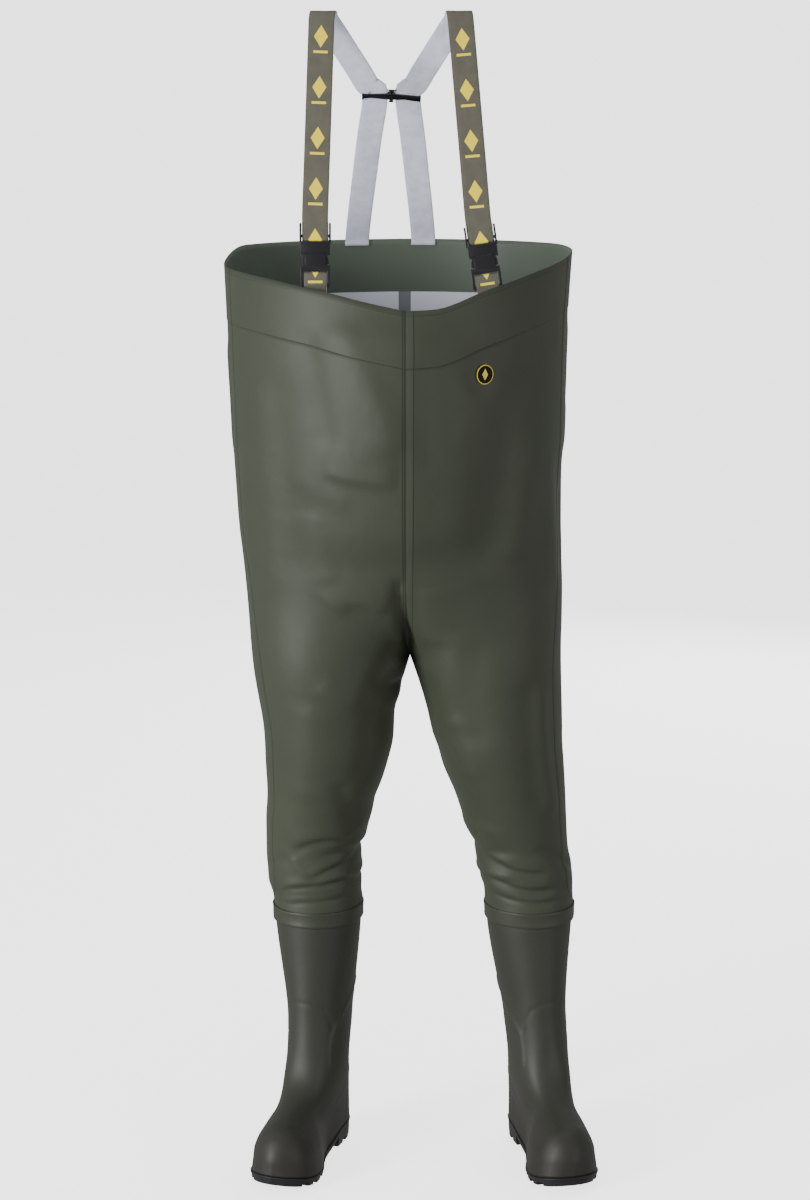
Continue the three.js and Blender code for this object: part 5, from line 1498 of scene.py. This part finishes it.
def build_badge():
    """A plain round badge: a black disc with a yellow rim and a yellow lozenge."""
    low, high = (Vector(c) * 1000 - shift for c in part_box("chest_badge"))
    plain = frame["nodes"]["chest_badge"]
    sizes = {}
    for poly in plain.data.polygons:
        n = plain.matrix_world.to_3x3() @ poly.normal
        key = tuple(round(c, 3) for c in n)
        sizes[key] = sizes.get(key, 0) + poly.area
    normal = max((k for k in sizes if k[1] < 0), key=lambda k: sizes[k])
    normal = Vector(normal).normalized()
    centre = (low + high) / 2
    centre += normal * 0.6
    side = Vector((0, 0, 1)).cross(normal)
    side.normalize()
    up = normal.cross(side)
    half = BADGE_THICKNESS / 2
    made = Mesh()
    count = 64
    rings = []
    rings_at = [
        (BADGE_RADIUS - 0.4, -half), (BADGE_RADIUS, -half + 0.3), (BADGE_RADIUS, half - 0.3),
        (BADGE_RADIUS - 0.6, half), (BADGE_RADIUS - 1.4, half), (BADGE_RADIUS - 1.6, half - 0.25),
    ]
    for radius, out in rings_at:
        ring = []
        for i in range(count):
            angle = 2 * math.pi * i / count
            spoke = side * radius * math.cos(angle) + up * radius * math.sin(angle)
            ring.append(centre + spoke + normal * out)
        rings.append(made.add(np.array(ring)))
    for i, (a, b) in enumerate(zip(rings[:-1], rings[1:])):
        made.strip(a, b, True, mat=1 if i in (2, 3) else 0)
    made.face(list(rings[0]), 0)
    made.face(list(rings[-1]), 0)
    mark = made.add(np.array([
        centre + side * x + up * y + normal * z
        for z in (half - 0.3, half) for x, y in ((-5, 0), (0, -9), (5, 0), (0, 9))
    ]))
    made.face(mark[4:8], 1)
    made.face(mark[0:4][::-1], 1)
    for i in range(4):
        j = (i + 1) % 4
        made.face([mark[i], mark[j], mark[4 + j], mark[4 + i]], 1)
    obj = object_from("badge", made.all_points(), made.faces, made.mats, [badge_black, badge_yellow])
    turned_out(obj)
    shade_by_angle(obj, 35)
    return stands_for(obj, "chest_badge")


build_body()
for side in ("right", "left"):
    build_upper(side)
    build_sole(side)
    build_band(side)
    build_tab(side)
    build_brace(side)
    rounded(f"insole_soft_{side}", f"insole_{side}", insole_mat, 0.8)
    rounded(f"plug_{side}", f"buckle_plug_{side}", plastic, 0.6)
    rounded(f"socket_{side}", f"buckle_socket_{side}", plastic, 0.6)
rounded("slide_front", "back_slide_front", plastic, 0.5)
rounded("slide_back", "back_slide_back", plastic, 0.5)
rounded("rivet", "slide_pin", plastic, 0.3)
build_badge()

# Floor, light and camera


def studio():
    """A pale floor that runs up into a backdrop far behind the garment."""
    reach = 16
    near = -14
    bend = 6
    radius = 5
    top = 16
    profile = [(near, 0), (bend, 0)]
    for step in range(1, 13):
        angle = math.pi / 2 * step / 12
        profile.append((bend + radius * math.sin(angle), radius - radius * math.cos(angle)))
    profile.append((bend + radius, top))
    points = [(side * reach, y, z) for y, z in profile for side in (-1, 1)]
    faces = [(2 * i, 2 * i + 1, 2 * i + 3, 2 * i + 2) for i in range(len(profile) - 1)]
    mesh = bpy.data.meshes.new("floor")
    mesh.from_pydata(points, [], faces)
    mesh.polygons.foreach_set("use_smooth", [True] * len(faces))
    obj = linked("floor", mesh)
    pale = material("floor", (0.92, 0.92, 0.92), 0.9)
    shader = shader_of(pale)
    shader.inputs["Emission Color"].default_value = (1, 1, 1, 1)
    shader.inputs["Emission Strength"].default_value = 2.2
    mesh.materials.append(pale)
    # The bright floor and backdrop don't light the fabric
    obj.visible_diffuse = False
    obj.visible_glossy = False


studio()

world = bpy.data.worlds.new("studio")
bpy.context.scene.world = world
world.use_nodes = True
world.node_tree.nodes["Background"].inputs["Color"].default_value = (1, 1, 1, 1)
world.node_tree.nodes["Background"].inputs["Strength"].default_value = 0.45


def light(name, place_at, target, size, energy):
    data = bpy.data.lights.new(name, "AREA")
    data.shape = "RECTANGLE"
    data.size = size[0]
    data.size_y = size[1]
    data.energy = energy
    obj = linked(name, data)
    obj.location = place_at
    way = Vector(target) - Vector(place_at)
    obj.rotation_euler = way.to_track_quat("-Z", "Y").to_euler()
    return obj


light("key", (-3.7, -2.8, 1.3), (0, 0, 0.75), (1.5, 3.2), 310)
light("fill", (3.4, -2.6, 0.9), (0, 0, 0.6), (1.4, 2.4), 42)
light("top", (0.2, 0.6, 4.4), (0, 0, 1.0), (2.0, 2.0), 30)
back = light("back", (1.4, 3.8, 1.9), (0, 0, 0.9), (2.2, 2.4), 90)
back.visible_glossy = False

# The photo is 1200 pixels high and its lens is 2739 pixels long; the camera looks down from eye height
PHOTO_HEIGHT = 1200
PHOTO_LENS = 2739
SENSOR = 36
CAMERA_DISTANCE = 4.30
CAMERA_HEIGHT = 1.78
CAMERA_PITCH = 11.2

camera_data = bpy.data.cameras.new("camera")
camera_data.lens = PHOTO_LENS * SENSOR / PHOTO_HEIGHT
camera_data.sensor_width = SENSOR
camera_data.sensor_fit = "AUTO"
camera_data.clip_end = 100
camera = linked("camera", camera_data)
camera.location = Vector((0, -CAMERA_DISTANCE, CAMERA_HEIGHT)) + shift / 1000
camera.rotation_euler = (math.radians(90 - CAMERA_PITCH), 0, 0)
bpy.context.scene.camera = camera
